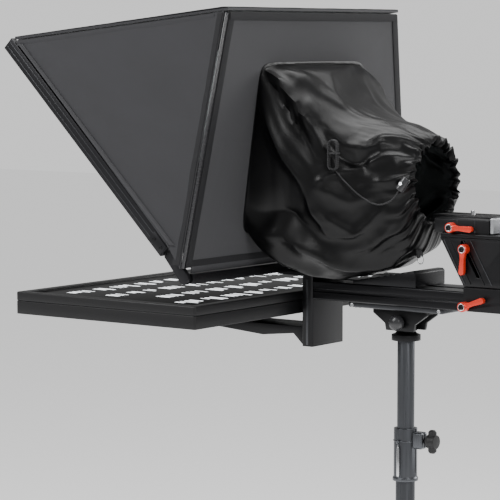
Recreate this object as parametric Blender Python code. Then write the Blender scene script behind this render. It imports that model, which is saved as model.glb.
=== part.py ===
"""A camera teleprompter on a folding tripod.

A monitor lies face up in front of the camera. A sheet of beam-splitter glass leans over it at
45 degrees and throws its picture towards the speaker, and a fabric hood with a lens sleeve keeps
the light out behind the glass. A rail carries the monitor, the hood and a camera riser, and
stands on a telescopic column.

Metres. +Z is up, and the speaker stands on the -Y side. The helpers and sizes below take Y from
the column's own axis, and heights from the floor; the root empty puts them in the part's frame,
whose origin is on the floor under the middle of the whole object.
"""

import math

import bmesh
import bpy
from mathutils import Matrix, Vector

# ---------------------------------------------------------------- driving sizes
GAP = 0.0003                     # clearance between pieces that touch
SLIDE_GAP = 0.0006               # clearance between pieces that slide

TURN = 28                        # sides of a round piece
SMALL_TURN = 16                  # sides of a small round piece

# stand
LOWER_TUBE_D = 0.028
TUBE_WALL = 0.0012
UPPER_TUBE_D = LOWER_TUBE_D - 2 * (TUBE_WALL + GAP)   # it slides in the lower tube
LOWER_TUBE_FOOT = 0.036          # height of the tube's lower end
LOWER_TUBE_LENGTH = 0.730
UPPER_TUBE_INSIDE = 0.340        # how much of the upper tube is in the lower one at rest
COLUMN_EXPOSED = 0.127           # bare upper tube between the clamp and the head
CLAMP_WALL = 0.0027
CLAMP_D = LOWER_TUBE_D + 2 * (GAP + CLAMP_WALL)   # it closes round the lower tube
CLAMP_LENGTH = 0.076
CLAMP_LIP = 0.014                # the part of the clamp that grips the upper tube
HUB_D = 0.046
HUB_HEIGHT = 0.030
LEG_COLLAR_D = 0.046
LEG_COLLAR_HEIGHT = 0.040
LEG_PIVOT_RADIUS = 0.034
LEG_PIVOT_HEIGHT = 0.372
LEG_ANGLE = math.radians(52)     # from the vertical, opened
LEG_LENGTH = 0.575
LEG_WIDTH = 0.014
LEG_DEPTH = 0.020
STRUT_ARM = 0.260                # pivot to pivot; the leg's upper arm is as long
STRUT_THICKNESS = 0.0025
STRUT_DEPTH = 0.014
FOOT_D = 0.026

# head of the stand
HEAD_CHEEK = 0.005
HEAD_INSIDE = 0.0254             # between the cheeks
HEAD_TOP_LENGTH = 0.090
HEAD_FOOT_LENGTH = 0.046
HEAD_HEIGHT = 0.030
HEAD_WEB = 0.005
TILT_BELOW_PLATE = 0.0175
SOCKET_FLANGE_D = 0.042
PLATE_LENGTH = 0.160
PLATE_WIDTH = 0.060
PLATE_THICKNESS = 0.0080

# rail and upright
RAIL_WIDTH = 0.080
RAIL_HEIGHT = 0.027
RAIL_BOTTOM = 0.965
RAIL_FRONT = -0.135
RAIL_REAR = 0.380
RAIL_SLOT = 0.012
RAIL_SLOT_DEPTH = 0.004
RAIL_GROOVE = 0.005
RAIL_WALL = 0.003
UPRIGHT_THICKNESS = 0.019
UPRIGHT_BOTTOM = 0.895
CROSSBAR_DEPTH = 0.024
CROSSBAR_HEIGHT = 0.0135
CROSSBAR_BOTTOM = 1.004
SADDLE_THICKNESS = 0.0055

# monitor
MONITOR_WIDTH = 0.560
MONITOR_DEPTH = 0.330
MONITOR_REAR = -0.165
MONITOR_TOP = 0.974
BEZEL_HEIGHT = 0.013
SHELL_HEIGHT = 0.019
SCREEN_WIDTH = 0.531
SCREEN_DEPTH = 0.299
SCREEN_RECESS = 0.0028
SHELL_WALL = 0.0025
BULGE_WIDTH = 0.430
BULGE_DEPTH = 0.236
BULGE_HEIGHT = 0.015
BULGE_SLOPE = 0.030
VESA_SIDE = 0.116
VESA_THICKNESS = 0.004
ARM_WIDTH = 0.060
BUTTON_WIDTH = 0.012
BUTTON_HEIGHT = 0.0050
BUTTON_PROUD = 0.0014
BUTTON_PITCH = 0.022
BUTTON_CLEARANCE = 0.0005

# glass, frame and hood
HOOD_WIDTH = 0.570               # across the frame and the hood's lower edge
HOOD_TOP_WIDTH = 0.432           # across the hood's upper rear edge
FRAME_FOOT_Y = -0.208
FRAME_FOOT_Z = 1.055
FRAME_LENGTH = 0.406
FRAME_LEAN = math.radians(45)
FRAME_DEPTH = 0.020
FRAME_FACE = 0.017
FRAME_WALL = 0.009
GLASS_THICKNESS = 0.003
GLASS_SEAT = 0.012               # from the frame's rear edge to its front lip
HOOD_REAR_TOP_Y = -0.156
HOOD_REAR_TOP_Z = 1.384
PANEL = 0.004
HINGE_LUG = 0.008               # thickness, 3 mm of it within the side rail
HINGE_FOOT_D = 0.016
PIVOT_D = 0.0054
HOOD_PIVOT_Y = -0.186
HOOD_FOLD_FOOT_Y = -0.182        # lower end of the fold between side and back panels
HOOD_FOLD_FOOT_Z = 1.024
ROD_D = 0.005
WINDOW_WIDTH = 0.250             # opening in the back panel, for the lens
WINDOW_BOTTOM = 1.086
WINDOW_TOP = 1.298

# lens sleeve: rings from the panel to the mouth, as (Y, top, bottom, half width, squareness)
SLEEVE_WALL = 0.004
SLEEVE_RINGS = (
    (-0.128, 1.284, 1.004, 0.134, 3.2),
    (-0.092, 1.250, 1.002, 0.122, 2.7),
    (-0.056, 1.226, 1.014, 0.108, 2.3),
    (-0.018, 1.218, 1.030, 0.094, 2.1),
    (0.018, 1.212, 1.050, 0.080, 2.0),
    (0.046, 1.202, 1.080, 0.068, 2.0),
)
SLEEVE_ROOT = (0.140, 1.066, 1.312)    # half width, bottom and top, where it meets the panel

# drawstring, its gathered hank and its cord lock
CORD_D = 0.0022
CORD_ROUTE = (
    (0.112, -0.043, 1.158),
    (0.1085, -0.030, 1.140),
    (0.104, -0.008, 1.122),
    (0.098, 0.014, 1.112),
    (0.091, 0.032, 1.118),
    (0.085, 0.0405, 1.1315),
)
HANK_CENTRE = (0.1155, -0.048, 1.180)
HANK_LENGTH = 0.044
HANK_WIDTH = 0.0165
HANK_THICKNESS = 0.007
CORD_LOCK_D = 0.013
CORD_LOCK_LENGTH = 0.020

# wedge-shaped rest on the rail, ahead of the riser
WEDGE_FRONT = -0.066
WEDGE_REAR = 0.040
WEDGE_LOW = 0.004
WEDGE_HIGH = 0.0225

# camera riser
RISER_LEAN = math.radians(30)    # of the guide slots, from the vertical
RISER_TRAVEL = 0.040
CARRIAGE_FRONT = 0.124
CARRIAGE_LENGTH = 0.166
CARRIAGE_SKIRT = 0.009
CARRIAGE_DROP = 0.0255
CARRIAGE_TOP = 0.008
CHEEK_LENGTH = 0.150
CHEEK_THICKNESS = 0.007
CHEEK_HEIGHT = 0.066
GUIDE_WALL = 0.006
BOLT_D = 0.006
BOLT_PITCH = 0.072
BOLT_Y = 0.1273
BOLT_HEIGHT = 0.0516             # above the cheeks' lower edges
SLOT_WIDTH = 0.008
SLOT_ABOVE = 0.009               # how far a slot runs on above its bolt at rest
TOP_PLATE = 0.006
CLAMP_BASE_FRONT = 0.074
CLAMP_BASE_LENGTH = 0.088
CLAMP_BASE_WIDTH = 0.090
CLAMP_BASE_HEIGHT = 0.020
CAMERA_PLATE_FRONT = 0.056
CAMERA_PLATE_HALF = 0.0268       # half width at its lower edge
CAMERA_PLATE_HEIGHT = 0.0105
DOVETAIL = 0.0034                # how much narrower it is at its upper edge
END_STOP = 0.006

LEVER_HUB_D = 0.014
LEVER_HUB_LENGTH = 0.011
LEVER_REACH = 0.036
LEVER_THICKNESS = 0.006

# ---------------------------------------------------------------- worked-out places
RAIL_TOP = RAIL_BOTTOM + RAIL_HEIGHT
PLATE_TOP = RAIL_BOTTOM - GAP
HEAD_TOP = PLATE_TOP - PLATE_THICKNESS - GAP
TILT_Z = HEAD_TOP - TILT_BELOW_PLATE
SOCKET_BOTTOM = HEAD_TOP - HEAD_HEIGHT - 0.0145
CLAMP_TOP = SOCKET_BOTTOM - COLUMN_EXPOSED
CLAMP_BOTTOM = CLAMP_TOP - CLAMP_LENGTH
LOWER_TUBE_TOP = CLAMP_TOP - CLAMP_LIP - 0.002
HUB_Z = LEG_PIVOT_HEIGHT - 2 * STRUT_ARM * math.cos(LEG_ANGLE)
FRAME_ALONG = Vector((-math.sin(FRAME_LEAN), math.cos(FRAME_LEAN)))
FRAME_OUT = Vector((-math.cos(FRAME_LEAN), -math.sin(FRAME_LEAN)))
HOOD_PIVOT_Z = CROSSBAR_BOTTOM + CROSSBAR_HEIGHT / 2
UPRIGHT_REAR = RAIL_FRONT - GAP
UPRIGHT_FRONT = UPRIGHT_REAR - UPRIGHT_THICKNESS
FRAME_FRONT_Y = FRAME_FOOT_Y + FRAME_ALONG.x * FRAME_LENGTH + FRAME_OUT.x * FRAME_DEPTH
ROOT_Y = -(FRAME_FRONT_Y + RAIL_REAR) / 2
CARRIAGE_Z = RAIL_TOP + SLIDE_GAP
CHEEK_BOTTOM = CARRIAGE_Z + CARRIAGE_TOP + SLIDE_GAP
CHEEK_TOP = CHEEK_BOTTOM + CHEEK_HEIGHT
CHEEK_INNER = RAIL_WIDTH / 2 + 0.002
CLAMP_BASE_Z = CHEEK_TOP + GAP + TOP_PLATE + GAP


# ---------------------------------------------------------------- modelling helpers
def clear_scene():
    for obj in list(bpy.data.objects):
        bpy.data.objects.remove(obj, do_unlink=True)


def material(name, colour, roughness, metallic=0.0, alpha=1.0):
    made = bpy.data.materials.new(name)
    made.use_nodes = True
    shader = made.node_tree.nodes["Principled BSDF"]
    shader.inputs["Base Color"].default_value = (*colour, 1.0)
    shader.inputs["Roughness"].default_value = roughness
    shader.inputs["Metallic"].default_value = metallic
    shader.inputs["Alpha"].default_value = alpha
    return made


def empty(name, y=0.0, z=0.0, x=0.0, parent=None):
    """A joint's place. Y is from the column's axis, as everywhere here."""
    made = bpy.data.objects.new(name, None)
    bpy.context.scene.collection.objects.link(made)
    made.parent = parent
    inherited = axis_of(parent) if parent else Vector((0, 0, 0))
    made.location = Vector((x, y, z)) - inherited
    made["axis"] = (x, y, z)
    return made


def axis_of(holder):
    return Vector(holder["axis"])


def keep(name, mesh, finish, holder):
    """Turns a mesh drawn in column coordinates into a named object hung on its joint's empty."""
    obj = bpy.data.objects.new(name, mesh)
    bpy.context.scene.collection.objects.link(obj)
    mesh.transform(Matrix.Translation(-axis_of(holder)))
    mesh.materials.append(finish)
    mesh.shade_smooth()
    mesh.set_sharp_from_angle(angle=math.radians(35))
    obj.parent = holder
    return obj


def mesh_of(shape, name):
    bmesh.ops.recalc_face_normals(shape, faces=shape.faces)
    mesh = bpy.data.meshes.new(name)
    shape.to_mesh(mesh)
    shape.free()
    return mesh


def place(axis, first, second, along):
    """A point from two coordinates in the plane across an axis, and one along it."""
    return {
        "X": Vector((along, first, second)),
        "Y": Vector((first, along, second)),
        "Z": Vector((first, second, along)),
    }[axis]


def prism(name, outline, axis, low, high, finish, holder):
    """An outline across the axis, extruded from low to high."""
    shape = bmesh.new()
    ring = [shape.verts.new(place(axis, a, b, low)) for a, b in outline]
    face = shape.faces.new(ring)
    grown = bmesh.ops.extrude_face_region(shape, geom=[face])
    moved = [g for g in grown["geom"] if isinstance(g, bmesh.types.BMVert)]
    bmesh.ops.translate(shape, verts=moved, vec=place(axis, 0, 0, high - low))
    return keep(name, mesh_of(shape, name), finish, holder)


def block(name, x, y, z, finish, holder, bevel=0.0, edges="all", steps=1):
    """A box from (low, high) pairs, with its edges eased."""
    shape = bmesh.new()
    bmesh.ops.create_cube(shape, size=1.0)
    size = Vector((x[1] - x[0], y[1] - y[0], z[1] - z[0]))
    middle = Vector((x[0] + x[1], y[0] + y[1], z[0] + z[1])) / 2
    bmesh.ops.scale(shape, vec=size, verts=shape.verts)
    bmesh.ops.translate(shape, vec=middle, verts=shape.verts)
    if bevel:
        chosen = list(shape.edges)
        if edges != "all":
            index = "XYZ".index(edges)
            chosen = [e for e in chosen if abs((e.verts[0].co - e.verts[1].co)[index]) > 1e-6]
        bmesh.ops.bevel(shape, geom=chosen, offset=bevel, segments=steps, affect="EDGES", profile=0.5)
    return keep(name, mesh_of(shape, name), finish, holder)


def turned(name, profile, axis, centre, finish, holder, sides=TURN, start=0.0):
    """A closed (radius, along) profile spun about an axis through centre."""
    shape = bmesh.new()
    spin_axis = {"X": Vector((1, 0, 0)), "Y": Vector((0, 1, 0)), "Z": Vector((0, 0, 1))}[axis]
    verts = [shape.verts.new(place(axis, radius, 0, along)) for radius, along in profile]
    edges = [shape.edges.new((a, b)) for a, b in zip(verts, verts[1:] + verts[:1])]
    bmesh.ops.rotate(shape, verts=verts, cent=(0, 0, 0), matrix=Matrix.Rotation(start, 3, axis))
    bmesh.ops.spin(
        shape, geom=verts + edges, cent=(0, 0, 0), axis=spin_axis, angle=math.tau, steps=sides,
        use_merge=True,
    )
    bmesh.ops.remove_doubles(shape, verts=shape.verts, dist=1e-6)
    flat = [f for f in shape.faces if f.calc_area() < 1e-12]
    bmesh.ops.delete(shape, geom=flat, context="FACES")
    # A profile that touches the axis leaves its axis edge loose, so it is dropped.
    loose = [e for e in shape.edges if not e.link_faces]
    bmesh.ops.delete(shape, geom=loose, context="EDGES")
    bmesh.ops.translate(shape, verts=shape.verts, vec=centre)
    return keep(name, mesh_of(shape, name), finish, holder)


def helper_only(obj):
    obj.hide_render = True
    obj.display_type = "WIRE"
    return obj


def boolean(obj, other, operation):
    modifier = obj.modifiers.new(operation.lower() + "_" + other.name, "BOOLEAN")
    modifier.operation = operation
    modifier.object = helper_only(other)
    modifier.solver = "EXACT"
    return obj


def cut(obj, *cutters):
    for cutter in cutters:
        boolean(obj, cutter, "DIFFERENCE")
    return obj


def join(obj, *others):
    for other in others:
        boolean(obj, other, "UNION")
    return obj


def arc(centre, radius, first, last, steps):
    """Points on an arc, from the first angle to the last, in degrees."""
    return [
        (
            centre[0] + radius * math.cos(math.radians(first + (last - first) * i / steps)),
            centre[1] + radius * math.sin(math.radians(first + (last - first) * i / steps)),
        )
        for i in range(steps + 1)
    ]


# ---------------------------------------------------------------- finishes
def finishes():
    return {
        "black_metal": material("black_metal", (0.022, 0.022, 0.024), 0.45, 0.6),
        "grey_tube": material("grey_tube", (0.10, 0.105, 0.11), 0.35, 0.7),
        "chrome": material("chrome", (0.75, 0.75, 0.76), 0.15, 1.0),
        "black_plastic": material("black_plastic", (0.018, 0.018, 0.019), 0.5),
        "screen": material("screen", (0.005, 0.005, 0.006), 0.2),
        "circuit": material("circuit", (0.02, 0.09, 0.04), 0.5),
        "glass": material("glass", (0.75, 0.78, 0.78), 0.03, 0.0, 0.35),
        "hood_fabric": material("hood_fabric", (0.075, 0.075, 0.08), 0.85),
        "sleeve_fabric": material("sleeve_fabric", (0.02, 0.02, 0.022), 0.45),
        "red_lever": material("red_lever", (0.62, 0.03, 0.02), 0.35, 0.3),
        "rubber": material("rubber", (0.03, 0.03, 0.03), 0.8),
        "cord": material("cord", (0.012, 0.012, 0.012), 0.6),
    }


# ---------------------------------------------------------------- stand
def make_tripod(root, finish):
    """Hub, sliding collar, three legs with their struts and feet, and the lower tube."""
    radius = LOWER_TUBE_D / 2
    turned(
        "lower_tube",
        [(radius - TUBE_WALL, LOWER_TUBE_FOOT), (radius, LOWER_TUBE_FOOT),
         (radius, LOWER_TUBE_TOP), (radius - TUBE_WALL, LOWER_TUBE_TOP)],
        "Z", (0, 0, 0), finish["grey_tube"], root,
    )
    bore = radius + GAP
    hub = turned(
        "strut_hub",
        [(bore, HUB_Z - HUB_HEIGHT / 2), (HUB_D / 2, HUB_Z - HUB_HEIGHT / 2),
         (HUB_D / 2, HUB_Z + HUB_HEIGHT / 2), (bore, HUB_Z + HUB_HEIGHT / 2)],
        "Z", (0, 0, 0), finish["black_plastic"], root,
    )
    slider = empty("leg_collar_slide", 0, LEG_PIVOT_HEIGHT, parent=root)
    slide_bore = radius + SLIDE_GAP
    low, high = LEG_PIVOT_HEIGHT - 0.014, LEG_PIVOT_HEIGHT - 0.014 + LEG_COLLAR_HEIGHT
    collar = turned(
        "leg_collar",
        [(slide_bore, low), (LEG_COLLAR_D / 2, low), (LEG_COLLAR_D / 2, high - 0.004),
         (LEG_COLLAR_D / 2 - 0.004, high), (slide_bore, high)],
        "Z", (0, 0, 0), finish["black_plastic"], slider,
    )
    make_collar_knob(slider, high - 0.012, finish)
    for number in range(3):
        make_leg(number, root, slider, hub, collar, finish)


def turn_to(obj, angle):
    """Turns a piece drawn for the front leg about the column's axis to its own leg's place."""
    obj.data.transform(Matrix.Rotation(angle, 4, "Z"))
    return obj


def fork(name, height, span, depth, finish, holder):
    """Two ears on the front side of a round hub, to either side of a leg or strut pivot."""
    reach = LEG_PIVOT_RADIUS + depth / 2
    inner = LOWER_TUBE_D / 2 + 0.004
    ears = []
    for side in (-1, 1):
        x = sorted((side * span / 2, side * (span / 2 + 0.004)))
        ears.append(block(f"{name}_{side}", x, (-reach, -inner), height, finish, holder))
    return ears


def make_leg(number, root, slider, hub, collar, finish):
    """One leg, its foot and its strut. All are drawn pointing at -Y, then turned to their place."""
    angle = math.tau * number / 3
    turn = Matrix.Rotation(angle, 4, "Z")
    down = Vector((-math.sin(LEG_ANGLE), -math.cos(LEG_ANGLE)))
    across = Vector((down.y, -down.x))
    up = Vector((-math.sin(LEG_ANGLE), math.cos(LEG_ANGLE)))
    leg_start = Vector((-LEG_PIVOT_RADIUS, LEG_PIVOT_HEIGHT))
    strut_start = Vector((-LEG_PIVOT_RADIUS, HUB_Z))
    strut_gap = LEG_WIDTH / 2 + SLIDE_GAP

    for ear in fork(f"leg_ear_{number}", (LEG_PIVOT_HEIGHT - 0.010, LEG_PIVOT_HEIGHT + 0.010),
                    LEG_WIDTH + 2 * SLIDE_GAP, 0.014, finish["black_plastic"], slider):
        join(collar, turn_to(ear, angle))
    boss = block(f"strut_boss_{number}", (-strut_gap, strut_gap),
                 (-LEG_PIVOT_RADIUS - 0.006, -LOWER_TUBE_D / 2 - 0.003),
                 (HUB_Z - 0.009, HUB_Z + 0.009), finish["black_plastic"], root)
    join(hub, turn_to(boss, angle))

    pivot = turn @ Vector((0, leg_start.x, leg_start.y))
    leg_axis = empty(f"leg_hinge_{number + 1}", pivot.y, pivot.z, pivot.x, parent=slider)
    half = across * LEG_DEPTH / 2
    end = leg_start + down * LEG_LENGTH
    rounded = [leg_start - half * math.sin(a) - down * LEG_DEPTH / 2 * math.cos(a)
               for a in (math.pi / 4, 0, -math.pi / 4)]
    points = [end + half, end - half, leg_start - half, *rounded, leg_start + half]
    leg = prism_turned(f"leg_{number + 1}", points, (-LEG_WIDTH / 2, LEG_WIDTH / 2), turn,
                       finish["grey_tube"], leg_axis)
    tip = end - down * 0.012
    wide = across * FOOT_D / 2
    foot = [tip + wide, tip - wide, Vector(((tip - wide).x - 0.004, 0.0)), Vector(((tip + wide).x, 0.0))]
    pad = prism_turned(f"leg_pad_{number}", foot, (-FOOT_D / 2, FOOT_D / 2), turn, finish["rubber"], leg_axis)
    join(leg, pad)

    pivot = turn @ Vector((0, strut_start.x, strut_start.y))
    strut_axis = empty(f"strut_hinge_{number + 1}", pivot.y, pivot.z, pivot.x, parent=root)
    make_strut(number, strut_start, up, strut_gap, turn, finish, strut_axis)
    return leg


def prism_turned(name, points, x, turn, finish, holder):
    """A prism across X, turned about the column's axis before it is hung on its joint."""
    shape = bmesh.new()
    ring = [shape.verts.new(place("X", a, b, x[0])) for a, b in points]
    face = shape.faces.new(ring)
    grown = bmesh.ops.extrude_face_region(shape, geom=[face])
    moved = [g for g in grown["geom"] if isinstance(g, bmesh.types.BMVert)]
    bmesh.ops.translate(shape, verts=moved, vec=(x[1] - x[0], 0, 0))
    bmesh.ops.transform(shape, matrix=turn, verts=shape.verts)
    return keep(name, mesh_of(shape, name), finish, holder)


def make_strut(number, start, up, inner, turn, finish, holder):
    """Two flat bars, one on each side of the leg, held together by a spacer near the hub."""
    across = Vector((up.y, -up.x)) * STRUT_DEPTH / 2
    ends = [start - up * STRUT_DEPTH / 2, start + up * (STRUT_ARM + STRUT_DEPTH / 2)]
    outline = [ends[0] - across, ends[1] - across, ends[1] + across, ends[0] + across]
    inner += GAP
    bar = prism_turned(f"leg_strut_{number + 1}", outline, (inner, inner + STRUT_THICKNESS), turn,
                       finish["black_metal"], holder)
    other = prism_turned(f"strut_bar_{number}", outline, (-inner - STRUT_THICKNESS, -inner), turn,
                         finish["black_metal"], holder)
    middle = start + up * 0.075
    corners = ((-0.004, -0.6), (0.004, -0.6), (0.004, 0.6), (-0.004, 0.6))
    square = [middle + up * a + across * b for a, b in corners]
    spacer = prism_turned(f"strut_spacer_{number}", square, (-inner - 0.001, inner + 0.001), turn,
                          finish["black_metal"], holder)
    join(bar, other, spacer)


def make_collar_knob(slider, height, finish):
    """The knob that locks the leg collar, on the rear side between two legs."""
    start = LEG_COLLAR_D / 2 + GAP
    holder = empty("leg_knob_axis", start, height, parent=slider)
    profile = [(0, 0), (0.004, 0), (0.004, 0.005), (0.013, 0.005), (0.014, 0.008), (0.013, 0.018), (0, 0.018)]
    turned("leg_collar_knob", [(r, a + start) for r, a in profile], "Y", (0, 0, height),
           finish["black_plastic"], holder, SMALL_TURN)


def make_column(root, finish):
    """Clamp, its knob, the hanging safety pin and the upper tube."""
    lower, upper = LOWER_TUBE_D / 2 + GAP, UPPER_TUBE_D / 2 + SLIDE_GAP
    outer = CLAMP_D / 2
    step = LOWER_TUBE_TOP + GAP
    clamp = turned(
        "column_clamp",
        [(lower, CLAMP_BOTTOM), (outer + 0.0015, CLAMP_BOTTOM), (outer + 0.0015, CLAMP_BOTTOM + 0.004),
         (outer, CLAMP_BOTTOM + 0.006), (outer, CLAMP_TOP), (upper, CLAMP_TOP), (upper, step), (lower, step)],
        "Z", (0, 0, 0), finish["grey_tube"], root,
    )
    boss_z = CLAMP_TOP - 0.016
    boss = block("clamp_boss", (-0.008, 0.008), (outer - 0.0016, outer + 0.015), (boss_z - 0.012, boss_z + 0.012),
                 finish["grey_tube"], root, 0.002)
    join(clamp, boss)
    split = block("clamp_split", (-0.001, 0.001), (lower - 0.004, outer + 0.02),
                  (CLAMP_BOTTOM + 0.012, CLAMP_TOP + 0.01), finish["grey_tube"], root)
    cut(clamp, split)

    start = outer + 0.015 + GAP
    knob_axis = empty("column_knob_axis", start, boss_z, parent=root)
    neck = [(0, 0), (0.0035, 0), (0.0035, 0.006), (0.010, 0.006), (0.010, 0.020), (0, 0.020)]
    knob = turned("column_knob", [(r, a + start) for r, a in neck], "Y", (0, 0, boss_z),
                  finish["black_plastic"], knob_axis, SMALL_TURN)
    wing = block("knob_wing", (-0.005, 0.005), (start + 0.007, start + 0.019), (boss_z - 0.017, boss_z + 0.017),
                 finish["black_plastic"], knob_axis, 0.003)
    join(knob, wing)

    make_safety_pin(root, clamp, outer, finish)

    column = empty("column_slide", 0, SOCKET_BOTTOM, parent=root)
    radius = UPPER_TUBE_D / 2
    turned(
        "upper_tube",
        [(radius - TUBE_WALL, LOWER_TUBE_TOP - UPPER_TUBE_INSIDE), (radius, LOWER_TUBE_TOP - UPPER_TUBE_INSIDE),
         (radius, SOCKET_BOTTOM + 0.012), (radius - TUBE_WALL, SOCKET_BOTTOM + 0.012)],
        "Z", (0, 0, 0), finish["grey_tube"], column,
    )
    return column


def make_safety_pin(root, clamp, outer, finish):
    """A chromed pin that hangs from an eye on the clamp, on the side of the speaker's right."""
    top = CLAMP_TOP - 0.018
    eye_x = outer + 0.0028
    eye = turned("pin_eye", [(0.0018, -0.0012), (0.0034, -0.0012), (0.0034, 0.0012), (0.0018, 0.0012)],
                 "Y", (eye_x, 0, top), finish["chrome"], root, 12)
    join(clamp, eye)
    pin_axis = empty("pin_hinge", 0, top, eye_x, parent=root)
    length = [(0, top - 0.050), (0.0018, top - 0.050), (0.0022, top - 0.047), (0.0022, top - 0.008), (0, top - 0.008)]
    pin = turned("safety_pin", length, "Z", (eye_x, 0, 0), finish["chrome"], pin_axis, 12)
    link = block("pin_link", (eye_x - 0.0010, eye_x + 0.0010), (-0.0010, 0.0010), (top - 0.010, top - 0.0040),
                 finish["chrome"], pin_axis)
    join(pin, link)


def make_socket(column, finish):
    """The block on the upper tube that the head tilts on."""
    radius = UPPER_TUBE_D / 2 + GAP
    flange = SOCKET_BOTTOM + 0.008
    socket = turned(
        "tilt_socket",
        [(radius, SOCKET_BOTTOM), (SOCKET_FLANGE_D / 2, SOCKET_BOTTOM), (SOCKET_FLANGE_D / 2, flange),
         (radius + 0.003, flange + 0.002), (0.0125, flange + 0.006), (0, flange + 0.006),
         (0, SOCKET_BOTTOM + 0.0125), (radius, SOCKET_BOTTOM + 0.0125)],
        "Z", (0, 0, 0), finish["black_metal"], column,
    )
    half = HEAD_INSIDE / 2 - GAP
    foot = flange + 0.0052
    ear = [(-0.011, foot), *arc((0, TILT_Z), 0.011, 180, 0, 8), (0.011, foot)]
    join(socket, prism("socket_ear", ear, "X", -half, half, finish["black_metal"], column))
    bore = prism("socket_bore", arc((0, TILT_Z), 0.0036, 0, 337.5, 15), "X", -0.03, 0.03,
                 finish["black_metal"], column)
    cut(socket, bore)


# ---------------------------------------------------------------- head, rail and upright
def make_head(column, finish):
    """The tilting bracket, its bolt and ball knob, the mounting plate and the rail."""
    head = empty("head_tilt", 0, TILT_Z, parent=column)
    top, foot = HEAD_TOP_LENGTH / 2, HEAD_FOOT_LENGTH / 2
    low = HEAD_TOP - HEAD_HEIGHT
    side = [(-top, HEAD_TOP), (-top, HEAD_TOP - 0.006), (-foot - 0.002, low + 0.010), (-foot, low),
            (foot, low), (foot + 0.002, low + 0.010), (top, HEAD_TOP - 0.006), (top, HEAD_TOP)]
    outer = HEAD_INSIDE / 2 + HEAD_CHEEK
    bracket = prism("head_bracket", side, "X", -outer, outer, finish["black_metal"], head)
    inside = block("head_inside", (-HEAD_INSIDE / 2, HEAD_INSIDE / 2), (-top - 0.01, top + 0.01),
                   (low - 0.01, HEAD_TOP - HEAD_WEB), finish["black_metal"], head)
    bolt_hole = prism("head_bolt_hole", arc((0, TILT_Z), 0.0036, 0, 337.5, 15), "X", -0.03, 0.03,
                      finish["black_metal"], head)
    cut(bracket, inside, bolt_hole)

    knob_axis = empty("tilt_knob_axis", 0, TILT_Z, outer, parent=head)
    ball = [(0, -0.040), (0.0030, -0.040), (0.0030, GAP), (0.007, GAP), (0.0105, 0.004), (0.0112, 0.009),
            (0.0095, 0.0145), (0.005, 0.0175), (0, 0.018)]
    turned("tilt_knob", [(r, a + outer) for r, a in ball], "X", (0, 0, TILT_Z), finish["black_plastic"],
           knob_axis, 20)
    block("mounting_plate", (-PLATE_WIDTH / 2, PLATE_WIDTH / 2), (-PLATE_LENGTH / 2, PLATE_LENGTH / 2),
          (PLATE_TOP - PLATE_THICKNESS, PLATE_TOP), finish["black_metal"], head, 0.0015)
    make_rail(head, finish)
    make_upright(head, finish)
    return head


def make_rail(head, finish):
    """An aluminium extrusion with a T-slot along its top and a groove along each side."""
    half, slot, mouth = RAIL_WIDTH / 2, RAIL_SLOT / 2, RAIL_SLOT / 2
    groove, middle = RAIL_GROOVE / 2, (RAIL_BOTTOM + RAIL_TOP) / 2
    ease, depth = 0.0015, 0.0016
    right = [(mouth, RAIL_TOP), (half - ease, RAIL_TOP), (half, RAIL_TOP - ease),
             (half, middle + groove), (half - depth, middle + groove - 0.0008),
             (half - depth, middle - groove + 0.0008), (half, middle - groove),
             (half, RAIL_BOTTOM + ease), (half - ease, RAIL_BOTTOM)]
    left = [(-x, z) for x, z in reversed(right)]
    floor = [(-slot, RAIL_TOP - RAIL_SLOT_DEPTH), (slot, RAIL_TOP - RAIL_SLOT_DEPTH)]
    rail = prism("base_rail", right + left + floor, "Y", RAIL_FRONT, RAIL_REAR, finish["black_metal"], head)
    for side in (-1, 1):
        x = sorted((side * (slot + RAIL_WALL), side * (half - depth - RAIL_WALL)))
        z = (RAIL_BOTTOM + RAIL_WALL, RAIL_TOP - RAIL_WALL)
        cut(rail, block(f"rail_tunnel_{side}", x, (RAIL_FRONT - 0.01, RAIL_REAR + 0.01), z,
                        finish["black_metal"], head, 0.002, "Y"))


def make_upright(head, finish):
    """The front post with the saddle and crossbar that carry the hood's hinges."""
    half = RAIL_WIDTH / 2
    saddle_top = CROSSBAR_BOTTOM - GAP
    saddle_low = saddle_top - SADDLE_THICKNESS
    post = block("front_upright", (-half, half), (UPRIGHT_FRONT, UPRIGHT_REAR), (UPRIGHT_BOTTOM, saddle_top - 0.001),
                 finish["black_metal"], head, 0.0025, "Z", 2)
    front = HOOD_PIVOT_Y - CROSSBAR_DEPTH / 2
    saddle = block("crossbar_saddle", (-half, half), (front, UPRIGHT_REAR), (saddle_low, saddle_top),
                   finish["black_metal"], head)
    join(post, saddle)
    end = crossbar_end()
    bar = block("hood_crossbar", (-end, end), (front, front + CROSSBAR_DEPTH),
                (CROSSBAR_BOTTOM, CROSSBAR_BOTTOM + CROSSBAR_HEIGHT), finish["black_metal"], head, 0.0012, "X")
    for side in (-1, 1):
        x = sorted((side * (end - 0.020), side * (end + 0.01)))
        hole = prism(f"crossbar_hole_{side}", arc((HOOD_PIVOT_Y, HOOD_PIVOT_Z), PIVOT_D / 2 + GAP, 0, 337.5, 15),
                     "X", x[0], x[1], finish["black_metal"], head)
        cut(bar, hole)


def crossbar_end():
    return hinge_lug_inner() - GAP


def hinge_lug_inner():
    return HOOD_WIDTH / 2 - FRAME_WALL - HINGE_LUG + 0.003


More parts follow.
